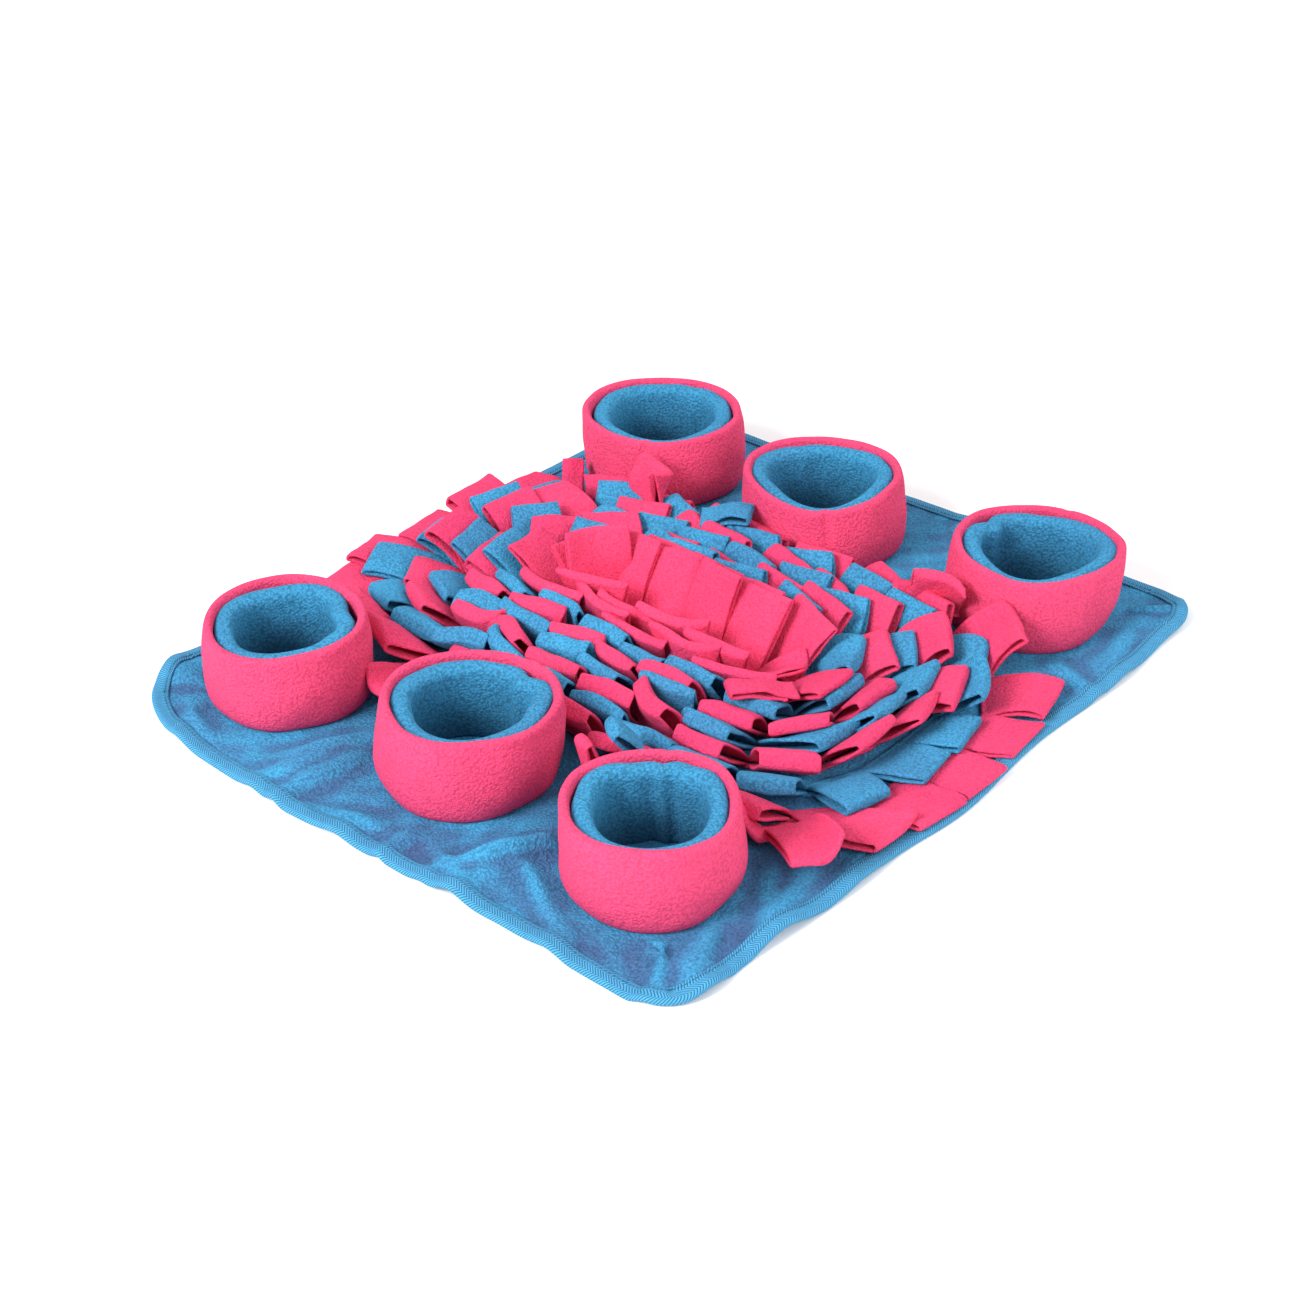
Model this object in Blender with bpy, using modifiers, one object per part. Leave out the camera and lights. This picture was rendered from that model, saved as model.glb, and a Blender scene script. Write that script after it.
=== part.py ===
"""A fleece snuffle mat: a bound mat with six standing cups and rings of slit, folded bands.

Metres, +Z up. The mat lies on z = 0 with its long side along Y. The origin is the middle of
its underside. "Near" is -Y, "far" is +Y, "left" is -X and "right" is +X.
"""

import bisect
import math
import random
from collections import namedtuple

import bmesh
import bpy
from mathutils import Vector

# ---------------------------------------------------------------- driving sizes
MAT_WIDTH = 0.500  # along X, over the binding
MAT_LENGTH = 0.580  # along Y, over the binding
MAT_THICK = 0.003
SEAT_GAP = 0.0005  # between pieces that touch

# Radius of the cloth's corners, by whether x and y are positive there.
CORNER_RADII = {(False, False): 0.062, (True, False): 0.032, (True, True): 0.040, (False, True): 0.045}

TAPE_THICK = 0.0009
TAPE_WIDTH = 0.013  # of the binding, seen from above
TAPE_GAP = 0.0006  # between the tape and the cloth in it

FLEECE = 0.0022  # one layer
SEAM_FLAP = 0.0035  # sewn-down margin on each side of a band's loops
ROOT_HALF = 0.0019  # half the distance between a loop's two legs at the seam
FOLD_HALF = 0.0020  # half the distance between them near the fold
# Up a loop's inner leg, over its fold and down its outer leg: share of its length, and side.
LEG_STATIONS = ((0.50, -0.85), (0.92, -1.0), (1.0, 0.0), (0.92, 1.0), (0.50, 0.85))
SLIT = 0.0020  # between neighbouring loops of a band

CUP_HEIGHT = 0.057
CUP_WALL = 0.006  # two layers of fleece, folded at the rim
CUP_DRAWN = 0.001  # how far a wall is drawn in at its foot and its rim
RIM_ROUND = 0.003  # of both rims
LINING_TOP_INSET = 0.0086  # from a cup's radius to its lining's
LINING_FOOT_INSET = 0.0076
LINING_HEIGHT = 0.053
CUP_STEPS = 22  # flats around a cup
CUP_HOLD = (0.020, 0.034)  # how far round a cup its seam holds the mat flat, and lets it go

CLOTH_X = MAT_WIDTH / 2 - TAPE_THICK - TAPE_GAP  # half sizes of the mat's own cloth
CLOTH_Y = MAT_LENGTH / 2 - TAPE_THICK - TAPE_GAP
EDGE_RISE = TAPE_THICK + TAPE_GAP  # the edge is pressed thinner over the tape's lower layer
MAT_TOP = MAT_THICK + SEAT_GAP  # what is sewn on starts here

PINK = (0.86, 0.06, 0.17, 1.0)
BLUE = (0.05, 0.31, 0.56, 1.0)
TAPE_BLUE = (0.06, 0.36, 0.62, 1.0)

# ---------------------------------------------------------------- the mat's grid and folds
# Lines of the mat's grid inside the binding, closer together where it has folds.
INNER_X = (-0.2200, -0.1980, -0.1650, -0.1320, -0.1010, -0.0880, -0.0750, -0.0400, -0.0090,
           0.0220, 0.0570, 0.0740, 0.0910, 0.1220, 0.1520, 0.1820, 0.2140)
INNER_Y = (-0.2600, -0.2290, -0.1970, -0.1650, -0.1350, -0.0670, 0.0, 0.0670, 0.1350, 0.1650,
           0.1970, 0.2290, 0.2600)
LINES_X = (-CLOTH_X, TAPE_WIDTH - CLOTH_X, *INNER_X, CLOTH_X - TAPE_WIDTH, CLOTH_X)
LINES_Y = (-CLOTH_Y, TAPE_WIDTH - CLOTH_Y, *INNER_Y, CLOTH_Y - TAPE_WIDTH, CLOTH_Y)
HELD = (1.0, 1.08)  # the bands hold the mat flat out to the first share of their reach
CORNER_EASE = 0.6  # how much less of a line inside the edge the round corner takes up

# Soft folds of the mat: middle, the way each runs, its length and width, and its height.
Fold = namedtuple("Fold", "x y turn long wide high")
FOLDS = (
    Fold(-0.2450, -0.2450, 45, 0.10, 0.050, 0.0070),
    Fold(-0.1750, -0.2850, 100, 0.06, 0.040, 0.0030),
    Fold(-0.0880, -0.2500, 80, 0.12, 0.034, 0.0060),
    Fold(-0.0200, -0.2850, 70, 0.06, 0.036, 0.0045),
    Fold(0.0740, -0.2570, 95, 0.12, 0.036, 0.0060),
    Fold(0.1500, -0.2870, 75, 0.06, 0.034, 0.0040),
    Fold(0.2350, -0.2500, 140, 0.08, 0.040, 0.0050),
    Fold(0.2480, -0.1800, 0, 0.07, 0.050, 0.0030),
    Fold(0.2480, 0.1750, 0, 0.07, 0.050, 0.0030),
    Fold(0.2440, 0.2600, 90, 0.09, 0.050, 0.0035),
    Fold(0.0740, 0.2500, 90, 0.12, 0.036, 0.0050),
    Fold(-0.0880, 0.2500, 90, 0.12, 0.036, 0.0050),
    Fold(-0.2350, 0.2750, 135, 0.09, 0.050, 0.0040),
    Fold(-0.2480, 0.0, 0, 0.09, 0.030, 0.0020),
)

# ---------------------------------------------------------------- the cups
# Where each stands, its radius, and how its soft rim is out of round: an oval and a
# three-cornered share, each with its direction in degrees. The rim dips by the last size, in
# the last direction.
Cup = namedtuple("Cup", "name x y radius oval oval_turn corner corner_turn lining_oval lining_corner "
                        "dip dip_turn")
CUPS = (
    Cup("near_left", -0.160, -0.202, 0.0560, 0.02, 130, 0.010, 20, 0.030, 0.030, 0.002, -60),
    Cup("near_mid", -0.004, -0.194, 0.0582, 0.02, 40, 0.012, 50, 0.025, 0.038, 0.001, -45),
    Cup("near_right", 0.155, -0.200, 0.0556, 0.01, 90, 0.010, 80, 0.020, 0.036, 0.000, 0),
    Cup("far_left", -0.173, 0.194, 0.0610, 0.02, 40, 0.008, 70, 0.025, 0.020, 0.001, -50),
    Cup("far_mid", -0.018, 0.193, 0.0590, 0.01, 120, 0.022, -50, 0.020, 0.045, 0.005, -55),
    Cup("far_right", 0.153, 0.200, 0.0590, 0.03, 30, 0.018, -60, 0.030, 0.035, 0.003, -60),
)


# ---------------------------------------------------------------- the rings of loops
# Each ring's seam runs round a middle point on a superellipse with these half sizes and this
# power. It is sewn from four lengths of band, one for each side. long_* and lean_* are a
# loop's length from its seam to its fold and its mean lean outwards from upright, in degrees.
Ring = namedtuple("Ring", "name colour mid_x mid_y half_x half_y power loops start "
                          "long_far long_near long_end lean_far lean_near lean_left lean_right")
RINGS = (
    Ring("petals_inner", PINK, -0.0070, 0.0020, 0.0855, 0.0118, 3.0, 10, 0.50,
         0.064, 0.038, 0.048, 44, 52, 44, 48),
    Ring("petals_outer", PINK, -0.0070, 0.0040, 0.1040, 0.0280, 3.0, 12, 0.50,
         0.056, 0.034, 0.044, 41, 52, 46, 50),
    Ring("band_1", BLUE, -0.0065, 0.0048, 0.1222, 0.0434, 2.9, 14, 0.57,
         0.044, 0.033, 0.038, 37, 52, 47, 52),
    Ring("band_2", PINK, -0.0055, 0.0050, 0.1408, 0.0576, 2.9, 16, 0.80,
         0.040, 0.034, 0.038, 33, 49, 49, 54),
    Ring("band_3", BLUE, -0.0055, 0.0050, 0.1558, 0.0720, 3.1, 19, 0.20,
         0.038, 0.034, 0.038, 30, 46.5, 51, 57),
    Ring("band_4", PINK, -0.0050, 0.0045, 0.1720, 0.0870, 3.5, 22, 0.65,
         0.037, 0.034, 0.038, 27, 38, 53, 60),
    Ring("band_5", BLUE, -0.0035, 0.0045, 0.1905, 0.1025, 4.0, 25, 0.05,
         0.036, 0.034, 0.037, 21, 26, 56, 65),
    Ring("band_6", PINK, -0.0010, 0.0040, 0.2130, 0.1180, 4.8, 26, 0.45,
         0.035, 0.034, 0.036, 12, 16, 60, 71),
)
SIDES = ("near", "right", "far", "left")
END_NORMAL = 0.72  # a loop belongs to the left or right length once its normal's x passes this
DROOP = 9.0  # degrees by which a loop leans more at its fold than its mean, and less at its seam
LEAN_JITTER = 1.5  # degrees
LONG_JITTER = 0.05  # share of a loop's length
RING_SAMPLES = 2880  # points that its seam is measured by
WELD = 0.00001


# ---------------------------------------------------------------- shared helpers
def clear_scene():
    for thing in list(bpy.data.objects):
        bpy.data.objects.remove(thing, do_unlink=True)


def cloth_material(name, colour, roughness):
    material = bpy.data.materials.new(name)
    material.use_nodes = True
    shader = material.node_tree.nodes["Principled BSDF"]
    shader.inputs["Base Color"].default_value = colour
    shader.inputs["Roughness"].default_value = roughness
    shader.inputs["Metallic"].default_value = 0.0
    return material


def smooth_step(low, high, value):
    share = min(1.0, max(0.0, (value - low) / (high - low)))
    return share * share * (3 - 2 * share)


def add_object(name, mesh, material, collection):
    thing = bpy.data.objects.new(name, mesh)
    mesh.materials.append(material)
    collection.objects.link(thing)
    return thing


def sheet_mesh(name, columns, slits=()):
    """A sheet laid through columns of points: a flat grid whose points are moved into place.

    Column i and the next one are parted by a slit if i is in slits, but for the first and the
    last cell between them.
    """
    across, along = len(columns), len(columns[0])
    shape = bmesh.new()
    bmesh.ops.create_grid(shape, x_segments=across - 1, y_segments=along - 1, size=1)
    for index, vert in enumerate(shape.verts):
        vert.co = columns[index % across][index // across]
    cut = [face for index, face in enumerate(shape.faces)
           if index % (across - 1) in slits and 0 < index // (across - 1) < along - 2]
    bmesh.ops.delete(shape, geom=cut, context="FACES")
    bmesh.ops.remove_doubles(shape, verts=shape.verts[:], dist=WELD)
    mesh = bpy.data.meshes.new(name)
    shape.to_mesh(mesh)
    shape.free()
    return mesh


def thicken(thing, thickness, offset):
    """Gives an open surface its thickness, to one side of it or (offset 0) to both."""
    solidify = thing.modifiers.new("cloth", "SOLIDIFY")
    solidify.thickness = thickness
    solidify.offset = offset
    solidify.use_rim = True


# ---------------------------------------------------------------- the mat
def on_outline(x, y):
    """Moves a point of the grid so that the grid's outer lines have round corners."""
    side_x, side_y = math.copysign(1, x), math.copysign(1, y)
    corner = CORNER_RADII[x > 0, y > 0]
    inset_x, inset_y = CLOTH_X - abs(x), CLOTH_Y - abs(y)
    inset = min(inset_x, inset_y)
    reach = corner - CORNER_EASE * inset
    along = max(inset_x, inset_y) - inset
    if inset >= corner or along >= reach:
        return x, y
    turn = math.radians(45) * (1 - along / reach)
    if inset_x > inset_y:
        turn = math.radians(90) - turn
    middle_x, middle_y = CLOTH_X - corner, CLOTH_Y - corner
    return (side_x * (middle_x + (corner - inset) * math.cos(turn)),
            side_y * (middle_y + (corner - inset) * math.sin(turn)))


def free_of_sewing(x, y):
    """0 where a cup or the bands hold the mat flat, and 1 well away from them."""
    share = 1.0
    for cup in CUPS:
        away = math.hypot(x - cup.x, y - cup.y) - cup.radius
        share *= smooth_step(*CUP_HOLD, away)
    outer = RINGS[-1]
    margin = 2 * (ROOT_HALF + SEAM_FLAP)
    reach = math.hypot((x / (outer.half_x + margin)) ** 2, (y / (outer.half_y + margin)) ** 2) ** 0.5
    return share * smooth_step(*HELD, reach)


def fold_height(x, y):
    """How high the mat's soft folds lift it. Across the binding it stays the same."""
    x = math.copysign(min(abs(x), CLOTH_X - TAPE_WIDTH), x)
    y = math.copysign(min(abs(y), CLOTH_Y - TAPE_WIDTH), y)
    height = 0.0
    for fold in FOLDS:
        turn = math.radians(fold.turn)
        run = (x - fold.x) * math.cos(turn) + (y - fold.y) * math.sin(turn)
        off = (y - fold.y) * math.cos(turn) - (x - fold.x) * math.sin(turn)
        height += fold.high * math.exp(-8 * (run / fold.long) ** 2 - 8 * (off / fold.wide) ** 2)
    return height * free_of_sewing(x, y)


def mat_columns():
    """The folded mat's underside, as one column of points for each line across it."""
    return [[Vector((*on_outline(x, y), fold_height(x, y))) for y in LINES_Y] for x in LINES_X]


def build_mat(columns, material, collection):
    """The sheet, raised by its thickness. Its underside rises again where the tape lies below."""
    across, along = len(columns), len(columns[0])
    mesh = sheet_mesh("mat", columns)
    shape = bmesh.new()
    shape.from_mesh(mesh)
    shape.verts.ensure_lookup_table()
    over_tape = [shape.verts[j * across + i] for i in range(across) for j in range(along)
                 if min(i, j, across - 1 - i, along - 1 - j) < 2]
    made = bmesh.ops.extrude_face_region(shape, geom=shape.faces[:])
    raised = [part for part in made["geom"] if isinstance(part, bmesh.types.BMVert)]
    bmesh.ops.translate(shape, verts=raised, vec=(0, 0, MAT_THICK))
    bmesh.ops.translate(shape, verts=over_tape, vec=(0, 0, EDGE_RISE))
    bmesh.ops.recalc_face_normals(shape, faces=shape.faces[:])
    shape.to_mesh(mesh)
    shape.free()
    add_object("mat", mesh, material, collection)


# ---------------------------------------------------------------- the binding
def border(columns):
    """Pairs (i, j) round the grid's edge, each with that of its neighbour one line inside."""
    right, far = len(columns) - 1, len(columns[0]) - 1
    ring = ([(i, 0) for i in range(right)] + [(right, j) for j in range(far)]
            + [(i, far) for i in range(right, 0, -1)] + [(0, j) for j in range(far, -1, -1)])
    return [((i, j), (min(max(i, 1), right - 1), min(max(j, 1), far - 1))) for i, j in ring]


def build_binding(columns, material, collection):
    """A tape folded round the mat's edge: over it, down outside it and back under it."""
    over, under = Vector((0, 0, MAT_THICK + TAPE_GAP)), Vector((0, 0, EDGE_RISE - TAPE_GAP))
    sections = []
    for (i, j), (inner_i, inner_j) in border(columns):
        edge, inner = columns[i][j], columns[inner_i][inner_j]
        outwards = Vector((edge.x - inner.x, edge.y - inner.y, 0)).normalized() * TAPE_GAP
        sections.append([inner + under, edge + outwards + under, edge + outwards + over, inner + over])
    binding = add_object("binding", sheet_mesh("binding", sections), material, collection)
    thicken(binding, TAPE_THICK, 1.0)


# ---------------------------------------------------------------- the cups
def cup_point(cup, radius, height, turn, oval, corner):
    """A point of a cup. Out-of-roundness grows from nothing at its foot to its rim."""
    share = (height / CUP_HEIGHT) ** 1.5
    around = 1 + share * (oval * math.cos(2 * (turn - math.radians(cup.oval_turn)))
                          + corner * math.cos(3 * (turn - math.radians(cup.corner_turn))))
    sag = cup.dip * share * max(0.0, math.cos(turn - math.radians(cup.dip_turn))) ** 3
    return Vector((cup.x + radius * around * math.cos(turn),
                   cup.y + radius * around * math.sin(turn),
                   MAT_TOP + height - sag))


def tube_section(foot, middle, top, height):
    """The folded cloth's closed section: up outside, over the round rim and down inside."""
    return ((foot, 0.0), (middle, 0.5 * height), (top, height - RIM_ROUND), (top - RIM_ROUND, height),
            (top - CUP_WALL, height - RIM_ROUND), (middle - CUP_WALL, 0.5 * height),
            (foot - CUP_WALL, 0.0))


def build_tube(name, cup, section, oval, corner, material, collection):
    """A standing tube: its section turned about the cup's middle, then pushed out of round."""
    shape = bmesh.new()
    points = [shape.verts.new((radius, 0, height)) for radius, height in section]
    edges = [shape.edges.new((point, points[k - 1])) for k, point in enumerate(points)]
    bmesh.ops.spin(shape, geom=points + edges, axis=(0, 0, 1), cent=(0, 0, 0),
                   angle=2 * math.pi, steps=CUP_STEPS, use_merge=True)
    for vert in shape.verts:
        radius, turn = math.hypot(vert.co.x, vert.co.y), math.atan2(vert.co.y, vert.co.x)
        vert.co = cup_point(cup, radius, vert.co.z, turn, oval, corner)
    bmesh.ops.recalc_face_normals(shape, faces=shape.faces[:])
    mesh = bpy.data.meshes.new(name)
    shape.to_mesh(mesh)
    shape.free()
    mesh.shade_smooth()
    add_object(name, mesh, material, collection)


def build_cup(cup, pink, blue, collection):
    drawn = cup.radius - CUP_DRAWN
    wall = tube_section(drawn, cup.radius, drawn, CUP_HEIGHT)
    build_tube("cup_wall_" + cup.name, cup, wall, cup.oval, cup.corner, pink, collection)
    foot, top = cup.radius - LINING_FOOT_INSET, cup.radius - LINING_TOP_INSET
    lining = tube_section(foot, (foot + top) / 2, top, LINING_HEIGHT)
    build_tube("cup_lining_" + cup.name, cup, lining, cup.lining_oval, cup.lining_corner,
               blue, collection)


# ---------------------------------------------------------------- the bands of loops
def ring_path(ring):
    """The ring's seam as samples (distance along it, point), and its whole length."""
    points = []
    for step in range(RING_SAMPLES + 1):
        turn = 2 * math.pi * step / RING_SAMPLES
        x, y = (math.copysign(abs(part) ** (2 / ring.power), part)
                for part in (math.cos(turn), math.sin(turn)))
        points.append(Vector((ring.mid_x + ring.half_x * x, ring.mid_y + ring.half_y * y, 0)))
    path, run = [], 0.0
    for before, after in zip(points, points[1:]):
        path.append((run, before))
        run += (after - before).length
    path.append((run, points[-1]))
    return path, run


def at_distance(path, distance):
    """The point that lies this far along the ring."""
    distance %= path[-1][0]
    place = bisect.bisect_right(path, distance, key=lambda sample: sample[0])
    start, point = path[place - 1]
    end, after = path[min(place, len(path) - 1)]
    return point.lerp(after, (distance - start) / max(end - start, WELD))


def outward(first, second):
    """The level way out from the middle, square to the line from one point to the other."""
    along = (second - first).normalized()
    return Vector((along.y, -along.x, 0))


def mitre(normal, other):
    """The way out at the joint of two loops, long enough to keep the seam's width there."""
    between = (normal + other).normalized()
    return between / between.dot(normal)


def side_of(normal):
    if abs(normal.x) > END_NORMAL:
        return "right" if normal.x > 0 else "left"
    return "far" if normal.y > 0 else "near"


def by_side(normal, far, near, left, right):
    """Blends four values by the way a loop faces."""
    along_x = right if normal.x > 0 else left
    along_y = far if normal.y > 0 else near
    return along_x * normal.x ** 2 + along_y * normal.y ** 2


Loop = namedtuple("Loop", "side ends mitres normal long lean")


def ring_loops(ring, chance):
    """Each loop of a ring stands on one side of the polygon that the ring's joints make."""
    path, total = ring_path(ring)
    joints = [at_distance(path, (index + ring.start) * total / ring.loops)
              for index in range(ring.loops)]
    normals = [outward(joints[i], joints[(i + 1) % ring.loops]) for i in range(ring.loops)]
    loops = []
    for i, normal in enumerate(normals):
        following = (i + 1) % ring.loops
        half_slit = (joints[following] - joints[i]).normalized() * SLIT / 2
        ends = joints[i] + half_slit, joints[following] - half_slit
        mitres = mitre(normal, normals[i - 1]), mitre(normal, normals[following])
        long = by_side(normal, ring.long_far, ring.long_near, ring.long_end, ring.long_end)
        lean = by_side(normal, ring.lean_far, ring.lean_near, ring.lean_left, ring.lean_right)
        long *= 1 + LONG_JITTER * chance.uniform(-1, 1)
        lean += LEAN_JITTER * chance.uniform(-1, 1)
        loops.append(Loop(side_of(normal), ends, mitres, normal, long, lean))
    return loops


def spine(lean, long, distance):
    """(outwards, up, lean) on a loop's middle line, which bends evenly from seam to fold."""
    start = math.radians(lean - DROOP)
    bend = 2 * math.radians(DROOP) / long
    now = start + bend * distance
    return (math.cos(start) - math.cos(now)) / bend, (math.sin(now) - math.sin(start)) / bend, now


def loop_column(loop, end):
    """A band's section at one cut edge of a loop: flap, leg, fold, leg, flap."""
    floor = MAT_TOP + FLEECE / 2
    foot, mitred = loop.ends[end], loop.mitres[end]
    seam = [foot + mitred * out + Vector((0, 0, floor))
            for out in (-ROOT_HALF - SEAM_FLAP, -ROOT_HALF, ROOT_HALF, ROOT_HALF + SEAM_FLAP)]
    legs = []
    for share, side in LEG_STATIONS:
        out, up, turn = spine(loop.lean, loop.long, share * loop.long)
        out += side * FOLD_HALF * math.cos(turn)
        up -= side * FOLD_HALF * math.sin(turn)
        legs.append(foot + loop.normal * out + Vector((0, 0, floor + up)))
    return seam[:2] + legs + seam[2:]


def build_band(name, loops, material, collection):
    """One length of folded band, slit into loops that stay joined by its two sewn margins."""
    columns = [loop_column(loop, end) for loop in loops for end in (0, 1)]
    slits = range(1, len(columns), 2)
    band = add_object(name, sheet_mesh(name, columns, slits), material, collection)
    thicken(band, FLEECE, 0.0)


def build_ring(ring, material, collection, seed):
    loops = ring_loops(ring, random.Random(seed))
    # Start the count where the side changes, so that each length is one run of loops.
    first = next(i for i in range(len(loops)) if loops[i].side != loops[i - 1].side)
    loops = loops[first:] + loops[:first]
    for side in SIDES:
        chosen = [loop for loop in loops if loop.side == side]
        if chosen:
            build_band(f"{ring.name}_{side}", chosen, material, collection)


# ---------------------------------------------------------------- assembly
def main():
    clear_scene()
    collection = bpy.data.collections.new("snuffle_mat")
    bpy.context.scene.collection.children.link(collection)
    pink = cloth_material("pink_fleece", PINK, 0.95)
    blue = cloth_material("blue_fleece", BLUE, 0.95)
    tape = cloth_material("blue_tape", TAPE_BLUE, 0.75)
    columns = mat_columns()
    build_mat(columns, blue, collection)
    build_binding(columns, tape, collection)
    for cup in CUPS:
        build_cup(cup, pink, blue, collection)
    for seed, ring in enumerate(RINGS):
        build_ring(ring, pink if ring.colour == PINK else blue, collection, seed)


main()
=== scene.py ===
"""Dresses the snuffle mat: fleece, tape, cups, slit bands, petals, stitches, stage and camera.

Metres, +Z up, in the frame's own axes. The mat lies on z = 0 with its long side along Y.
"Near" is -Y, "far" is +Y, "left" is -X and "right" is +X.
"""

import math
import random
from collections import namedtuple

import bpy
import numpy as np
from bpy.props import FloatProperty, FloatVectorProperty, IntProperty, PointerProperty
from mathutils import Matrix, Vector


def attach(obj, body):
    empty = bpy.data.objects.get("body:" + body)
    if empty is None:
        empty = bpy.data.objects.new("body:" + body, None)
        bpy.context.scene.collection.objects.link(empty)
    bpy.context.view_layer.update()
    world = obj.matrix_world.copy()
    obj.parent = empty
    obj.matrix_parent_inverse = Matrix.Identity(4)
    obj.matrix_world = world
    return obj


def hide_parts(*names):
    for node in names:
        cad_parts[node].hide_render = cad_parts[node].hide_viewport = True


bl_info = {
    "name": "Snuffle Mat",
    "version": (1, 0, 0),
    "blender": (4, 5, 0),
    "location": "3D View > Sidebar > Snuffle Mat",
    "description": "Adds a fleece snuffle mat with six cups and rings of slit, folded bands",
    "category": "Add Mesh",
}

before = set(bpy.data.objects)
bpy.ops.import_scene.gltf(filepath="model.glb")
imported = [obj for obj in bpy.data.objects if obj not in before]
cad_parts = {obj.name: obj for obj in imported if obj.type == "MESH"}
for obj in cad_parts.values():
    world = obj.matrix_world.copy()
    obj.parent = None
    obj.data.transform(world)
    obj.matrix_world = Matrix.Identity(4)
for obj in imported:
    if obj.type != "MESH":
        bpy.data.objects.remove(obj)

# ---------------------------------------------------------------- sizes shared with the solids
MAT_THICK = 0.003
SEAT_GAP = 0.0005  # between pieces that touch
# Of the cloth's corners, by whether each is on the right and whether it is on the far side.
CORNER_RADII = {(False, False): 0.062, (True, False): 0.040, (True, True): 0.040, (False, True): 0.045}
TAPE_THICK = 0.0009
TAPE_WIDTH = 0.0088  # of the binding, seen from above
TAPE_GAP = 0.0006  # between the tape and the cloth in it
STITCH_INSET = 0.0022  # from the tape's inner line to its stitches
STITCH_ARCH = 0.00035  # how far a stitch's middle stands above its ends
FLEECE = 0.0022  # one layer
SEAM_FLAP = 0.0035  # sewn-down margin on each side of a band's loops
ROOT_HALF = 0.0019  # half the distance between a loop's two legs at the seam
SLIT = 0.0020  # between neighbouring loops of a band
CUP_HEIGHT = 0.057
LINING_INSET = 0.0078  # from a cup's radius to its lining's
LINING_HEIGHT = 0.053
CUP_HOLD = (0.001, 0.016)  # how far round a cup its seam holds the mat flat, and lets it go

CLOTH_X = 0.2485  # half sizes of the mat's own cloth
CLOTH_Y = 0.2885
EDGE_RISE = TAPE_THICK + TAPE_GAP  # the edge is pressed thinner over the tape's lower layer
MAT_TOP = MAT_THICK + SEAT_GAP  # what is sewn on starts here

HELD = (1.0, 1.08)  # the bands hold the mat flat out to the first share of their reach
CORNER_EASE = 0.6  # how much less of a line inside the edge the round corner takes up
PULLED = 0.0007  # how far the stitches pull the cloth down beside the tape
PULLED_AWAY = 0.008  # from the tape's inner line to where that is deepest
PULLED_HALF = 0.0022  # half the width of that shallow line
NAP_RIPPLE = 0.00035  # unevenness of the mat's top
# The mat's troughs are painted darker, towards purple, as painted shade; these find how deep each lies.
HOLLOW_LINES = 4  # of the mat's grid, over which a place is compared with those round it
HOLLOW_DEPTHS = (-0.0003, 0.0011)  # from where a hollow starts to where it is full

# Soft folds of the mat: middle, the way each runs, its length and width, and its height.
Fold = namedtuple("Fold", "x y turn long wide high")
FOLDS = (
    Fold(-0.2450, -0.2450, 45, 0.10, 0.050, 0.0070),
    Fold(-0.1750, -0.2850, 100, 0.06, 0.040, 0.0030),
    Fold(-0.0880, -0.2500, 80, 0.12, 0.034, 0.0060),
    Fold(-0.0200, -0.2850, 70, 0.06, 0.036, 0.0045),
    Fold(0.0740, -0.2570, 95, 0.12, 0.036, 0.0060),
    Fold(0.1500, -0.2870, 75, 0.06, 0.034, 0.0040),
    Fold(0.2350, -0.2550, 140, 0.09, 0.050, 0.0040),
    Fold(0.2480, -0.1800, 0, 0.07, 0.050, 0.0030),
    Fold(0.2480, 0.1750, 0, 0.07, 0.050, 0.0030),
    Fold(0.2440, 0.2600, 90, 0.09, 0.050, 0.0035),
    Fold(0.0740, 0.2500, 90, 0.12, 0.036, 0.0050),
    Fold(-0.0880, 0.2500, 90, 0.12, 0.036, 0.0050),
    Fold(-0.2350, 0.2750, 135, 0.09, 0.050, 0.0040),
    Fold(-0.2480, 0.0, 0, 0.09, 0.030, 0.0020),
)
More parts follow.
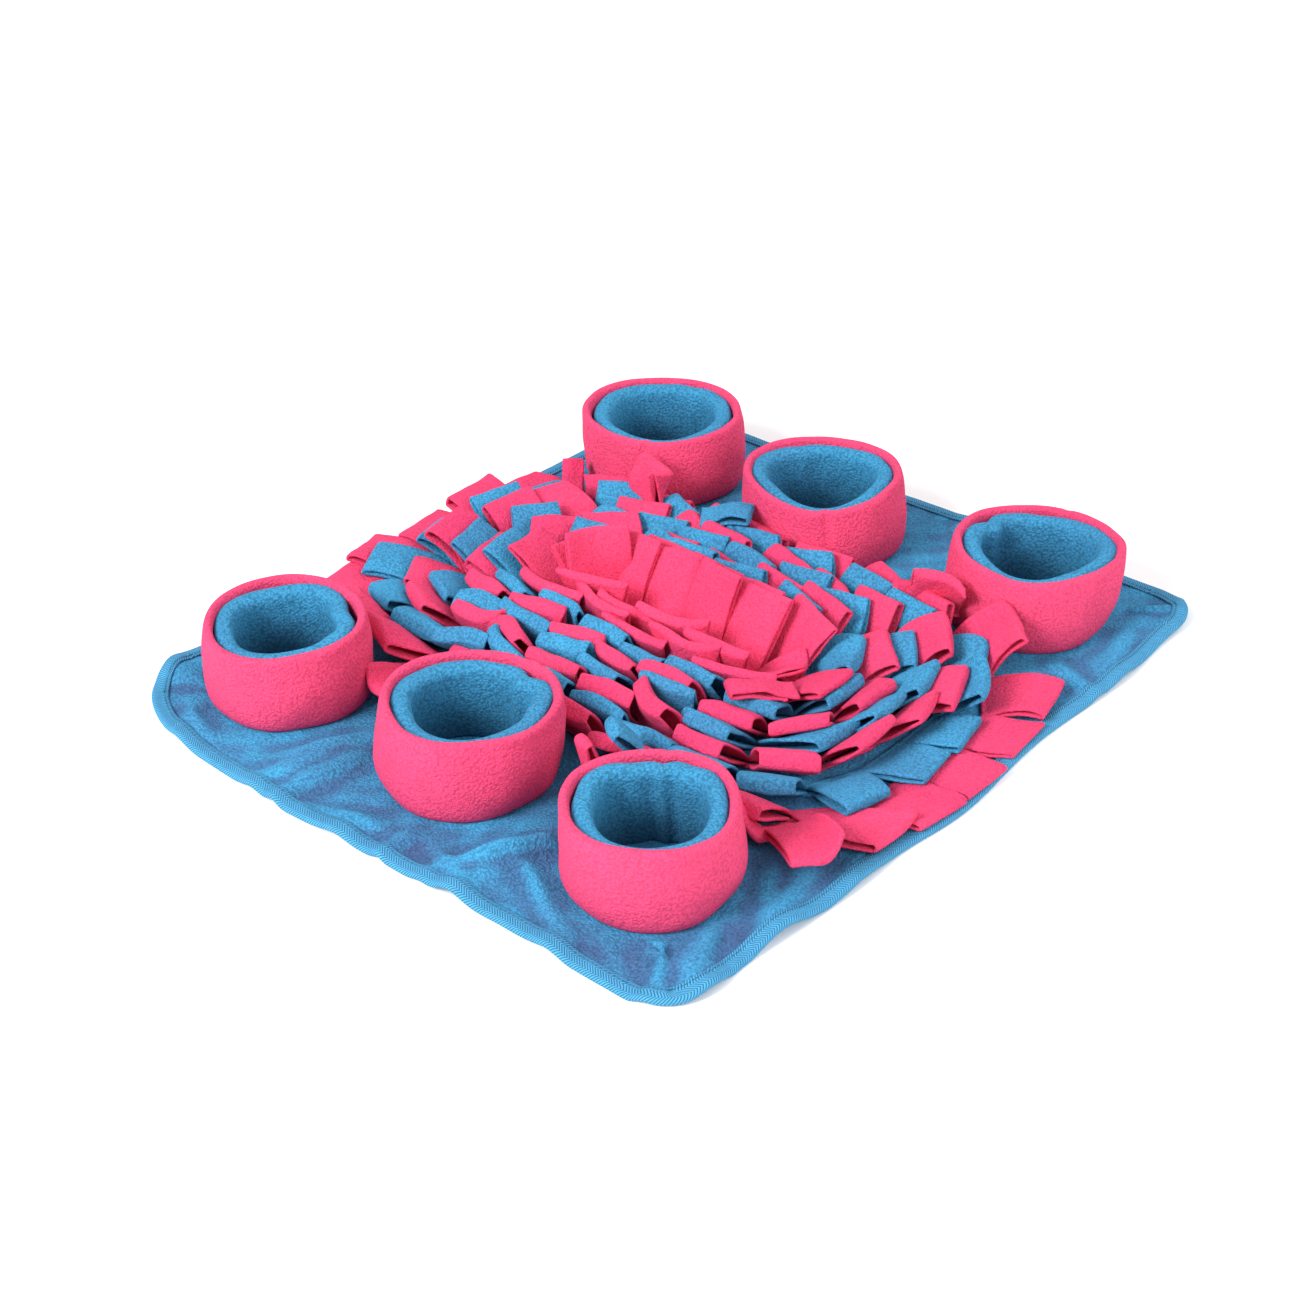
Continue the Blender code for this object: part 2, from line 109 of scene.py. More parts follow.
# Finer creases between them, a few of them troughs.
CREASES = (
    Fold(-0.2150, -0.2560, 30, 0.07, 0.016, -0.0020),
    Fold(-0.1780, -0.2700, 172, 0.07, 0.016, 0.0040),
    Fold(-0.0700, -0.2540, 83, 0.11, 0.018, 0.0062),
    Fold(-0.0920, -0.2300, 60, 0.07, 0.014, 0.0040),
    Fold(-0.0250, -0.2720, 11, 0.08, 0.015, 0.0042),
    Fold(0.0170, -0.2650, 89, 0.06, 0.014, 0.0050),
    Fold(0.0560, -0.2700, 157, 0.07, 0.015, 0.0046),
    Fold(0.0750, -0.2380, 60, 0.12, 0.017, 0.0078),
    Fold(0.0900, -0.2160, 30, 0.05, 0.014, 0.0040),
    Fold(0.1140, -0.2530, 152, 0.08, 0.014, 0.0050),
    Fold(0.1740, -0.2720, 149, 0.06, 0.016, -0.0045),
    Fold(0.2110, -0.2580, 128, 0.08, 0.020, 0.0054),
    Fold(0.2270, -0.2340, 112, 0.07, 0.018, 0.0048),
    Fold(0.2240, -0.2030, 120, 0.09, 0.018, -0.0050),
    Fold(0.2360, -0.1850, 108, 0.10, 0.020, 0.0052),
    Fold(0.2120, -0.2090, 130, 0.06, 0.016, 0.0046),
    Fold(0.2380, -0.1150, 100, 0.08, 0.018, 0.0040),
    Fold(0.1950, -0.2680, 148, 0.06, 0.015, -0.0038),
    Fold(0.1830, -0.2640, 148, 0.06, 0.016, 0.0036),
    Fold(0.2060, -0.1560, 118, 0.06, 0.014, 0.0036),
    Fold(0.2180, 0.1500, 160, 0.08, 0.016, 0.0045),
    Fold(0.2300, 0.1950, 100, 0.10, 0.018, 0.0045),
    Fold(0.2260, 0.2620, 45, 0.08, 0.016, 0.0036),
    Fold(0.0950, 0.2450, 80, 0.09, 0.015, 0.0045),
    Fold(0.0600, 0.2600, 130, 0.07, 0.015, 0.0034),
    Fold(-0.0700, 0.2520, 100, 0.09, 0.015, 0.0045),
    Fold(-0.1000, 0.2620, 60, 0.07, 0.015, 0.0034),
    Fold(-0.2320, 0.1200, 70, 0.08, 0.016, 0.0040),
)

# Where the cloth's outline bows out or in: its middle on that edge, its length, and how far.
Bow = namedtuple("Bow", "x y long out")
BOWS = (
    Bow(1, -0.02, 0.10, 0.0042),
    Bow(1, 0.08, 0.12, -0.0040),
    Bow(1, -0.08, 0.06, -0.0020),
    Bow(1, -0.22, 0.11, -0.0062),
    Bow(1, 0.24, 0.09, -0.0055),
    Bow(-0.21, -1, 0.065, -0.0062),
    Bow(-0.15, -1, 0.06, 0.0012),
    Bow(-0.06, -1, 0.14, 0.0060),
    Bow(0.05, -1, 0.06, 0.0012),
    Bow(0.12, -1, 0.07, -0.0018),
    Bow(-1, -0.10, 0.10, -0.0030),
    Bow(-1, -0.27, 0.12, -0.0070),
    Bow(-0.05, 1, 0.12, -0.0030),
)

# Each cup's middle and radius, how far its rim is from round, and the way each of those points:
# oval, three-cornered, four-cornered, dipped to one side and tipped over.
Cup = namedtuple("Cup", "name x y radius oval oval_turn corner corner_turn square square_turn "
                        "dip dip_turn tip tip_turn lining_oval lining_corner lining_square lining_dip")
CUPS = (
    Cup("near_left", -0.160, -0.202, 0.0560, 0.02, 130, 0.008, 20, 0.012, 10, 0.002, -60, 0.0010, -50,
        0.030, 0.020, 0.030, 0.001),
    Cup("near_mid", -0.004, -0.194, 0.0582, 0.02, 40, 0.014, 50, 0.008, 0, 0.001, -45, 0.0036, 40,
        0.025, 0.052, 0.012, 0.002),
    Cup("near_right", 0.155, -0.200, 0.0556, 0.00, 90, 0.004, 80, 0.026, -2, 0.001, -20, 0.0020, 220,
        0.012, 0.010, 0.046, 0.005),
    Cup("far_left", -0.173, 0.194, 0.0610, 0.04, 40, 0.006, 70, 0.006, 0, 0.003, -50, 0.0040, 215,
        0.025, 0.020, 0.012, 0.001),
    Cup("far_mid", -0.018, 0.193, 0.0590, 0.02, 40, 0.022, -50, 0.000, 0, 0.006, -55, 0.0045, 220,
        0.020, 0.050, 0.000, 0.001),
    Cup("far_right", 0.153, 0.200, 0.0590, 0.04, 35, 0.018, -70, 0.006, 20, 0.004, -80, 0.0034, 35,
        0.030, 0.045, 0.010, 0.001),
)

# Each ring's seam is a superellipse: its middle, half sizes and power, how many loops it has, and
# the share of a loop at which the first one starts. The rest are the loops' lengths and leans.
Ring = namedtuple("Ring", "name colour mid_x mid_y half_x half_y power loops start "
                          "long_far long_near long_end lean_far lean_near lean_left lean_right")
RINGS = (
    Ring("petals_inner", "pink", -0.0070, 0.0020, 0.0855, 0.0118, 3.0, 10, 0.50,
         0.064, 0.038, 0.048, 44, 52, 44, 48),
    Ring("petals_outer", "pink", -0.0070, 0.0040, 0.1040, 0.0280, 3.0, 12, 0.50,
         0.056, 0.034, 0.044, 41, 52, 46, 50),
    Ring("band_1", "blue", -0.0065, 0.0048, 0.1222, 0.0434, 2.9, 14, 0.57,
         0.044, 0.033, 0.038, 37, 52, 47, 52),
    Ring("band_2", "pink", -0.0055, 0.0050, 0.1408, 0.0576, 2.9, 16, 0.80,
         0.040, 0.034, 0.038, 33, 49, 49, 54),
    Ring("band_3", "blue", -0.0055, 0.0050, 0.1558, 0.0720, 3.1, 19, 0.20,
         0.038, 0.034, 0.038, 30, 46.5, 51, 57),
    Ring("band_4", "pink", -0.0050, 0.0045, 0.1720, 0.0870, 3.5, 22, 0.65,
         0.037, 0.034, 0.038, 27, 38, 53, 60),
    Ring("band_5", "blue", -0.0035, 0.0045, 0.1905, 0.1025, 4.0, 25, 0.05,
         0.036, 0.034, 0.037, 21, 26, 56, 65),
    Ring("band_6", "pink", -0.0010, 0.0040, 0.2130, 0.1180, 4.8, 26, 0.45,
         0.035, 0.034, 0.036, 12, 16, 60, 71),
)
SIDES = ("near", "right", "far", "left")
END_NORMAL = 0.72  # a loop belongs to the left or right length once its normal's x passes this
LEAN_JITTER = 1.5  # degrees
LONG_JITTER = 0.05  # share of a loop's length
RING_SAMPLES = 2880  # points that its seam is measured by

# ---------------------------------------------------------------- how fine the surfaces are
MAT_LINES = (164, 190)
TAPE_STEPS = 900
TAPE_ROWS = 15
CUP_STEPS = 168
WALL_ROWS = 46
LINING_ROWS = 52
LOOP_COLUMNS = 11
LOOP_ROWS = 42

# ---------------------------------------------------------------- how the loops settle
CELL = 0.0015  # of the level grid that keeps what is already laid
LAID_DENSE = (32, 80)  # columns and rows of a loop as it is laid on that grid
LEAN_STEP = 1.5  # degrees between the leans that a loop tries
LEAN_TRIES = 50
CLEAR = 0.0004  # kept between a loop and what it lies on
GIVE = 0.0022  # how far a loop may be held up by what it lies on, beyond its own lean
LEAN_MOST = 86  # degrees
SIDE_SLACK = (26, 34, 20, 16)  # degrees that bands lean beyond their solids: far, near, left, right
NEAR_PETAL_SLACK = 20  # degrees that the near petals lean beyond theirs
FAR_PETAL_CUT = 0.13  # share that the far petals are shorter by
STIFFNESS = 0.55  # how far a loop's columns share the lean of the one that is held up most


# ---------------------------------------------------------------- settings
class SnuffleMatSizes(bpy.types.PropertyGroup):
    """Sizes that a user would change."""

    wall_gap: FloatProperty(
        name="Wall gap", description="Between the middles of a cup wall's two layers",
        unit="LENGTH", default=0.0060)
    lining_roll: FloatProperty(
        name="Lining roll", description="Radius of a cup lining's puffy rim, to the middle of its cloth",
        unit="LENGTH", default=0.0034)
    stitch: FloatProperty(
        name="Stitch", description="Length of one stitch along the tape", unit="LENGTH", default=0.0032)


class SnuffleMatLoops(bpy.types.PropertyGroup):
    """How unevenly the loops of the bands lie."""

    unruly: FloatProperty(
        name="Unruly", description="Spread of the loops' leans, in degrees", default=15.0)
    sway: FloatProperty(
        name="Sway", description="How far a fold may shift along its band", unit="LENGTH", default=0.004)
    swing: FloatProperty(
        name="Swing", description="How far a fold may turn, seen from above, in degrees", default=20.0)
    roll: FloatProperty(
        name="Roll", description="How much more one cut edge may lean than the other, in degrees",
        default=14.0)
    belly: FloatProperty(
        name="Belly", description="How far a loop's legs spring apart", unit="LENGTH", default=0.0014)
    seed: IntProperty(name="Seed", description="Start of the random draws", default=7)


class SnuffleMatColours(bpy.types.PropertyGroup):
    """Colours of the cloth, as linear red, green and blue."""

    pink: FloatVectorProperty(
        name="Pink fleece", description="Cup walls, petals and every other band", subtype="COLOR",
        size=3, min=0, max=1, default=(0.90, 0.060, 0.170))
    blue: FloatVectorProperty(
        name="Blue fleece", description="Mat, cup linings and the other bands", subtype="COLOR",
        size=3, min=0, max=1, default=(0.050, 0.31, 0.56))
    tape: FloatVectorProperty(
        name="Blue tape", description="Herringbone binding", subtype="COLOR",
        size=3, min=0, max=1, default=(0.055, 0.28, 0.50))
    floor: FloatVectorProperty(
        name="Floor", description="The pale surface below", subtype="COLOR",
        size=3, min=0, max=1, default=(0.99, 0.99, 0.99))


# ---------------------------------------------------------------- numbers and grids
def smooth_step(low, high, value):
    """0 up to low and 1 from high on, and in between the share's square times 3 less 2 shares."""
    share = np.clip((value - low) / (high - low), 0, 1)
    return share * share * (3 - 2 * share)


def unit(vectors):
    """The vectors, each divided by its length."""
    return vectors / np.maximum(np.linalg.norm(vectors, axis=-1, keepdims=True), 1e-12)


def spline_weights(controls, samples):
    """Weights (samples, controls) of a clamped cubic B-spline at even steps of its parameter.

    Each degree blends two neighbouring weights of the degree below, by how far the parameter
    has run between their knots.
    """
    knots = np.concatenate([np.zeros(3), np.linspace(0, 1, controls - 2), np.ones(3)])
    place = np.linspace(0, 1 - 1e-9, samples)[:, None]
    weights = ((knots[:-1] <= place) & (place < knots[1:])).astype(float)
    for degree in (1, 2, 3):
        rise, fall = knots[degree:-1] - knots[:-degree - 1], knots[degree + 1:] - knots[1:-degree]
        up = (place - knots[:-degree - 1]) / np.where(rise > 0, rise, np.inf)
        down = (knots[degree + 1:] - place) / np.where(fall > 0, fall, np.inf)
        weights = up * weights[:, :-1] + down * weights[:, 1:]
    return weights


def ripple(points, wavelength, seed):
    """Soft unevenness from -1 to 1: the mean of six sine waves that run in seeded directions."""
    chance = np.random.default_rng(seed)
    ways = unit(chance.normal(size=(6, 3))) * 2 * math.pi / wavelength
    starts = chance.uniform(0, 2 * math.pi, 6)
    return np.sin(points @ ways.T + starts).mean(-1) * 1.6


def rounded_shell(middle, thickness, wraps):
    """Closed sections (sheets, rows, around, 3) of cloth laid on grids of middle points.

    A row's section runs over the sheet half a thickness above the middle points, round the
    last column's edge, back half a thickness below them and round the first column's edge.
    """
    across = np.gradient(middle, axis=2)
    if wraps:
        along = (np.roll(middle, -1, 1) - np.roll(middle, 1, 1)) / 2
    else:
        along = np.gradient(middle, axis=1)
    up = unit(np.cross(across, along)) * thickness / 2
    out = unit(across) * thickness / 2
    low, high = math.cos(math.radians(60)), math.sin(math.radians(60))
    right = [middle[:, :, -1] + out[:, :, -1] * high + up[:, :, -1] * tilt for tilt in (low, -low)]
    left = [middle[:, :, 0] - out[:, :, 0] * high + up[:, :, 0] * tilt for tilt in (-low, low)]
    return np.concatenate([middle + up, np.stack(right, 2), (middle - up)[:, :, ::-1],
                           np.stack(left, 2)], 2)


def flat_shell(top, bottom):
    """Closed sections of one sheet between two grids (rows, columns, 3)."""
    return np.concatenate([top, bottom[:, ::-1]], 1)[None]


def shell_faces(sheets, rows, around, rim, wraps):
    """Quads that join each row's closed section to the next, and close a sheet's two ends.

    rim is the number of points that round each edge of the section. The corners come as
    (sheet, row, place) numbers, so that a pattern can run on past the row where a tube closes.
    """
    row, place = np.meshgrid(np.arange(rows if wraps else rows - 1), np.arange(around), indexing="ij")
    row, place = row.ravel(), place.ravel()
    quads = [np.stack([np.stack([row, place], -1), np.stack([row, place + 1], -1),
                       np.stack([row + 1, place + 1], -1), np.stack([row + 1, place], -1)], 1)]
    if not wraps:
        columns = around // 2 - rim
        upper = np.arange(columns - 1)
        lower = around - rim - 1 - upper
        ends = [np.stack([upper, upper + 1, lower - 1, lower], 1)]
        if rim:
            ends.append([[columns - 1, columns, columns + 1, columns + 2],
                         [around - 3, around - 2, around - 1, 0]])
        ends = np.concatenate(ends)
        last = np.stack([np.full_like(ends, rows - 1), ends], -1)
        first = np.stack([np.zeros_like(ends), ends], -1)[:, ::-1]
        quads += [last, first]
    quads = np.concatenate(quads)
    sheet = np.repeat(np.arange(sheets), len(quads))
    return sheet, np.tile(quads, (sheets, 1, 1))


def add_piece(name, sections, material, replaced=(), rim=2, wraps=False, pattern=None):
    """Makes a mesh of closed sections (sheets, rows, around, 3). pattern is its UV map's rule."""
    sheets, rows, around, _ = sections.shape
    sheet, quads = shell_faces(sheets, rows, around, rim, wraps)
    corners = (sheet[:, None] * rows + quads[..., 0] % rows) * around + quads[..., 1] % around
    mesh = bpy.data.meshes.new(name)
    mesh.vertices.add(sheets * rows * around)
    mesh.vertices.foreach_set("co", sections.astype(np.float32).ravel())
    mesh.loops.add(corners.size)
    mesh.loops.foreach_set("vertex_index", corners.astype(np.int32).ravel())
    mesh.polygons.add(len(corners))
    mesh.polygons.foreach_set("loop_start", np.arange(0, corners.size, 4, dtype=np.int32))
    mesh.polygons.foreach_set("use_smooth", np.ones(len(corners), bool))
    mesh.update(calc_edges=True)
    if pattern is not None:
        layer = mesh.uv_layers.new(name="pattern")
        layer.data.foreach_set("uv", pattern(quads).astype(np.float32).ravel())
    mesh.materials.append(material)
    piece = bpy.data.objects.new(name, mesh)
    bpy.context.scene.collection.objects.link(piece)
    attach(piece, "root")
    if replaced:
        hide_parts(*replaced)
    return piece


# ---------------------------------------------------------------- materials
CLUMPS = 55.0  # to the metre: the fleece's soft wide unevenness
PATCHES = 14.0  # to the metre: places where its nap lies the other way
TWILL_STRIP = 0.0041  # width of a strip in which the tape's ribs run one way
TWILL_PITCH = 0.0020  # from rib to rib, along the tape
TAPE_WEAR = 160.0  # to the metre: worn places of the tape


def new_material(name, colour, roughness, sheen, sheen_tint):
    """A Principled material with a soft sheen. Returns it with its nodes, links and shader."""
    material = bpy.data.materials.new(name)
    material.use_nodes = True
    material.diffuse_color = (*colour, 1)
    nodes, links = material.node_tree.nodes, material.node_tree.links
    shader = nodes["Principled BSDF"]
    shader.inputs["Roughness"].default_value = roughness
    shader.inputs["Specular IOR Level"].default_value = 0.25
    shader.inputs["Sheen Weight"].default_value = sheen
    shader.inputs["Sheen Roughness"].default_value = 0.45
    shader.inputs["Sheen Tint"].default_value = (*sheen_tint, 1)
    return material, nodes, links, shader


def noise(nodes, links, vector, scale, detail, roughness):
    """Cloudy noise with scale clouds to the metre."""
    texture = nodes.new("ShaderNodeTexNoise")
    texture.inputs["Scale"].default_value = scale
    texture.inputs["Detail"].default_value = detail
    texture.inputs["Roughness"].default_value = roughness
    links.new(vector, texture.inputs["Vector"])
    return texture.outputs["Fac"]


def ramp(nodes, links, value, stops):
    """A colour ramp: stops are (place, colour)."""
    band = nodes.new("ShaderNodeValToRGB")
    elements = band.color_ramp.elements
    while len(elements) < len(stops):
        elements.new(1.0)
    for element, (place, colour) in zip(elements, stops):
        element.position = place
        element.color = (*colour, 1)
    links.new(value, band.inputs["Fac"])
    return band.outputs["Color"]


def math_node(nodes, links, operation, first, second):
    """One step of sums. Its two values are numbers or other nodes' outputs."""
    step = nodes.new("ShaderNodeMath")
    step.operation = operation
    for socket, value in zip(step.inputs, (first, second)):
        if isinstance(value, (int, float)):
            socket.default_value = value
        else:
            links.new(value, socket)
    return step.outputs["Value"]


def mix_colour(nodes, links, blend, factor, first, second):
    """Two colours blended by that rule, as strongly as factor says."""
    mix = nodes.new("ShaderNodeMix")
    mix.data_type = "RGBA"
    mix.blend_type = blend
    mix.inputs["Factor"].default_value = factor
    links.new(first, mix.inputs[6])
    links.new(second, mix.inputs[7])
    return mix.outputs[2]


def shade(colour, factor):
    """The colour made darker, or lighter up to white."""
    return tuple(min(1.0, part * factor) for part in colour)


def fleece_material(name, colour, nap_and_shade, tuft, relief, grain, brushed, shaded_hollows=False, painted_foot_shade=1.0):
    """Napped fleece: small curled tufts, lighter where they stand up, over soft wide unevenness.

    tuft is the size of a tuft and relief its height, in metres. grain is how much darker than the
    tufts' middles the dips between them are, and how much lighter their tips. brushed is how far
    wide patches, where the pile lies the other way, go towards nap_and_shade. shaded_hollows is whether
    the piece's UV map holds how deep each place lies, so that its troughs are darkened towards
    nap_and_shade too, as painted shade. painted_foot_shade is how dark a painted shade makes the
    cloth, against the rest, low in the foot of a cup.
    """
    material, nodes, links, shader = new_material(name, colour, 0.95, 0.22, shade(colour, 1.6))
    place = nodes.new("ShaderNodeTexCoord").outputs["Object"]
    curls = nodes.new("ShaderNodeTexVoronoi")
    curls.feature = "SMOOTH_F1"
    curls.inputs["Scale"].default_value = 1 / tuft
    curls.inputs["Smoothness"].default_value = 0.8
    curls.inputs["Randomness"].default_value = 1.0
    links.new(place, curls.inputs["Vector"])
    hairs = noise(nodes, links, place, 2.6 / tuft, 2.0, 0.6)
    hairs = math_node(nodes, links, "ADD", math_node(nodes, links, "MULTIPLY", hairs, 0.55), 0.35)
    tufts = math_node(nodes, links, "SUBTRACT", hairs,
                      math_node(nodes, links, "MULTIPLY", curls.outputs["Distance"], 0.75))
    clumps = noise(nodes, links, place, CLUMPS, 2.0, 0.5)
    fine = ramp(nodes, links, tufts, ((0.10, shade(colour, 1 - grain)), (0.34, colour),
                                      (0.58, shade(colour, 1 + grain))))
    wide = ramp(nodes, links, clumps, ((0.32, (0.93, 0.93, 0.93)), (0.68, (1.0, 1.0, 1.0))))
    base = mix_colour(nodes, links, "MULTIPLY", 1.0, fine, wide)
    patches = noise(nodes, links, place, PATCHES, 2.0, 0.45)
    turned = ramp(nodes, links, patches, ((0.42, (1.0, 1.0, 1.0)), (0.66, nap_and_shade)))
    base = mix_colour(nodes, links, "MULTIPLY", brushed, base, turned)
    # Painted shade: the troughs, by how deep the UV map says each place lies, are darkened towards the
    # same tint as the turned patches.
    if shaded_hollows:
        parts = nodes.new("ShaderNodeSeparateXYZ")
        links.new(nodes.new("ShaderNodeUVMap").outputs["UV"], parts.inputs["Vector"])
        deep = ramp(nodes, links, parts.outputs["X"], ((0.0, (1.0, 1.0, 1.0)), (1.0, nap_and_shade)))
        base = mix_colour(nodes, links, "MULTIPLY", 1.0, base, deep)
    # Painted shade low in a cup: from 50 mm high down to 16 mm the colour darkens, to this share of
    # itself.
    if painted_foot_shade < 1:
        parts = nodes.new("ShaderNodeSeparateXYZ")
        links.new(place, parts.inputs["Vector"])
        low = ramp(nodes, links, math_node(nodes, links, "MULTIPLY", parts.outputs["Z"], 10),
                   ((0.16, (painted_foot_shade, painted_foot_shade, painted_foot_shade)), (0.50, (1.0, 1.0, 1.0))))
        base = mix_colour(nodes, links, "MULTIPLY", 1.0, base, low)
    links.new(base, shader.inputs["Base Color"])
    soft = nodes.new("ShaderNodeBump")
    soft.inputs["Strength"].default_value = 0.30
    soft.inputs["Distance"].default_value = 0.0012
    links.new(clumps, soft.inputs["Height"])
    bump = nodes.new("ShaderNodeBump")
    bump.inputs["Strength"].default_value = 0.9
    bump.inputs["Distance"].default_value = relief
    links.new(tufts, bump.inputs["Height"])
    links.new(soft.outputs["Normal"], bump.inputs["Normal"])
    links.new(bump.outputs["Normal"], shader.inputs["Normal"])
    return material


def tape_material(name, colour):
    """Herringbone twill: slanted ribs that change direction from one strip of the tape to the next.

    Its UV map is in metres: u across the tape, v along it. A rib is where v, plus or minus the
    distance across its strip, has run half a rib's pitch.
    """
    material, nodes, links, shader = new_material(name, colour, 0.7, 0.15, shade(colour, 1.5))
    parts = nodes.new("ShaderNodeSeparateXYZ")
    links.new(nodes.new("ShaderNodeUVMap").outputs["UV"], parts.inputs["Vector"])
    zigzag = math_node(nodes, links, "PINGPONG", parts.outputs["X"], TWILL_STRIP)
    run = math_node(nodes, links, "ADD", parts.outputs["Y"], zigzag)
    rib = math_node(nodes, links, "PINGPONG", run, TWILL_PITCH / 2)
    rib = math_node(nodes, links, "MULTIPLY", rib, 2 / TWILL_PITCH)
    ribs = ramp(nodes, links, rib, ((0.12, shade(colour, 0.42)), (0.50, colour),
                                    (0.88, shade(colour, 1.55))))
    place = nodes.new("ShaderNodeTexCoord").outputs["Object"]
    wear = noise(nodes, links, place, TAPE_WEAR, 3.0, 0.6)
    worn = ramp(nodes, links, wear, ((0.3, (0.86, 0.86, 0.86)), (0.7, (1.0, 1.0, 1.0))))
    links.new(mix_colour(nodes, links, "MULTIPLY", 1.0, ribs, worn), shader.inputs["Base Color"])
    bump = nodes.new("ShaderNodeBump")
    bump.inputs["Strength"].default_value = 0.8
    bump.inputs["Distance"].default_value = 0.0004
    links.new(rib, bump.inputs["Height"])
    links.new(bump.outputs["Normal"], shader.inputs["Normal"])
    return material


def cloth(name):
    """The material of that name, made when it is first asked for."""
    found = bpy.data.materials.get(name)
    if found:
        return found
    colours = bpy.context.scene.snuffle_mat_colours
    pink, blue, tape = tuple(colours.pink), tuple(colours.blue), tuple(colours.tape)
    # The tints that turned patches of pile go towards; on the mat the purple is also the painted shade in
    # its troughs.
    darker, purple = (0.86, 0.80, 0.90), (1.0, 0.54, 0.62)
    if name == "pink_cup_fleece":
        # Painted light: the cup walls' pink is a paler copy of the bands', for the light on the cups'
        # fronts.
        lit_pink = (pink[0], 1.20 * pink[1], 1.12 * pink[2])
        return fleece_material(name, lit_pink, darker, 0.0017, 0.0017, 0.22, 0.4)
    if name == "pink_band_fleece":
        return fleece_material(name, pink, darker, 0.0016, 0.0011, 0.22, 0.8)
    if name == "blue_lining_fleece":
        # Painted shade inside the cups: the lining's blue is a darker copy of the bands', and darker still
        # towards the foot.
        return fleece_material(name, shade(blue, 0.92), purple, 0.0018, 0.0017, 0.36, 0.3,
                               painted_foot_shade=0.42)
    if name == "blue_band_fleece":
        return fleece_material(name, blue, purple, 0.0016, 0.0011, 0.34, 0.5)
    if name == "blue_mat_fleece":
        # Painted light: the mat's blue is a lighter copy of the bands', for the light that falls on it;
        # its troughs also get painted shade.
        return fleece_material(name, shade(blue, 1.08), purple, 0.0017, 0.0015, 0.32, 0.9,
                               shaded_hollows=True)
    if name == "blue_tape_twill":
        return tape_material(name, tape)
    raise RuntimeError(f"there is no cloth named {name!r}")


# ---------------------------------------------------------------- the mat
def on_outline(x, y):
    """Moves points of the grid so that its outer lines have round corners.

    Where a line inside the edge reaches a corner, the point goes onto an arc about the corner's
    middle, turned by its share of the way along that line.
    """
    radii = [[CORNER_RADII[right, far] for far in (False, True)] for right in (False, True)]
    corner = np.array(radii)[(x > 0).astype(int), (y > 0).astype(int)]
    inset_x, inset_y = CLOTH_X - np.abs(x), CLOTH_Y - np.abs(y)
    inset = np.minimum(inset_x, inset_y)
    along = np.maximum(inset_x, inset_y) - inset
    reach = np.maximum(corner - CORNER_EASE * inset, 1e-6)
    turn = math.radians(45) * (1 - along / reach)
    turn = np.where(inset_x > inset_y, math.radians(90) - turn, turn)
    bent = (inset < corner) & (along < reach)
    round_x = np.sign(x) * (CLOTH_X - corner + (corner - inset) * np.cos(turn))
    round_y = np.sign(y) * (CLOTH_Y - corner + (corner - inset) * np.sin(turn))
    return np.where(bent, round_x, x), np.where(bent, round_y, y)


def bowed(x, y):
    """Shifts points near an edge by each bow: a bell along the edge, fading into the mat."""
    moved_x, moved_y = x.copy(), y.copy()
    for bow in BOWS:
        if abs(bow.x) == 1:
            near_edge = smooth_step(0.10, CLOTH_X, x * bow.x)
            moved_x += bow.x * bow.out * near_edge * np.exp(-4 * ((y - bow.y) / bow.long) ** 2)
        else:
            near_edge = smooth_step(0.14, CLOTH_Y, y * bow.y)
            moved_y += bow.y * bow.out * near_edge * np.exp(-4 * ((x - bow.x) / bow.long) ** 2)
    return moved_x, moved_y


def free_of_sewing(x, y):
    """0 where a cup or the bands hold the mat flat, and 1 well away from them."""
    share = 1.0
    for cup in CUPS:
        away = np.hypot(x - cup.x, y - cup.y) - cup.radius
        share = share * smooth_step(*CUP_HOLD, away)
    outer = RINGS[-1]
    margin = 2 * (ROOT_HALF + SEAM_FLAP)
    reach = np.hypot((x / (outer.half_x + margin)) ** 2, (y / (outer.half_y + margin)) ** 2) ** 0.5
    return share * smooth_step(*HELD, reach)


def fold_height(x, y):
    """How high the mat's underside is: the sum of its folds' bells, where nothing holds it."""
    x = np.clip(x, TAPE_WIDTH - CLOTH_X, CLOTH_X - TAPE_WIDTH)
    y = np.clip(y, TAPE_WIDTH - CLOTH_Y, CLOTH_Y - TAPE_WIDTH)
    height = 0.0
    for fold in FOLDS + CREASES:
        turn = math.radians(fold.turn)
        run = (x - fold.x) * math.cos(turn) + (y - fold.y) * math.sin(turn)
        off = (y - fold.y) * math.cos(turn) - (x - fold.x) * math.sin(turn)
        height = height + fold.high * np.exp(-8 * (run / fold.long) ** 2 - 8 * (off / fold.wide) ** 2)
    return np.maximum(height, 0) * free_of_sewing(x, y)


def mat_point(x, y, lift):
    """Points of the laid mat: the flat grid's place, rounded and bowed, and raised by its folds."""
    moved_x, moved_y = bowed(*on_outline(x, y))
    return np.stack([moved_x, moved_y, fold_height(x, y) + lift], -1)


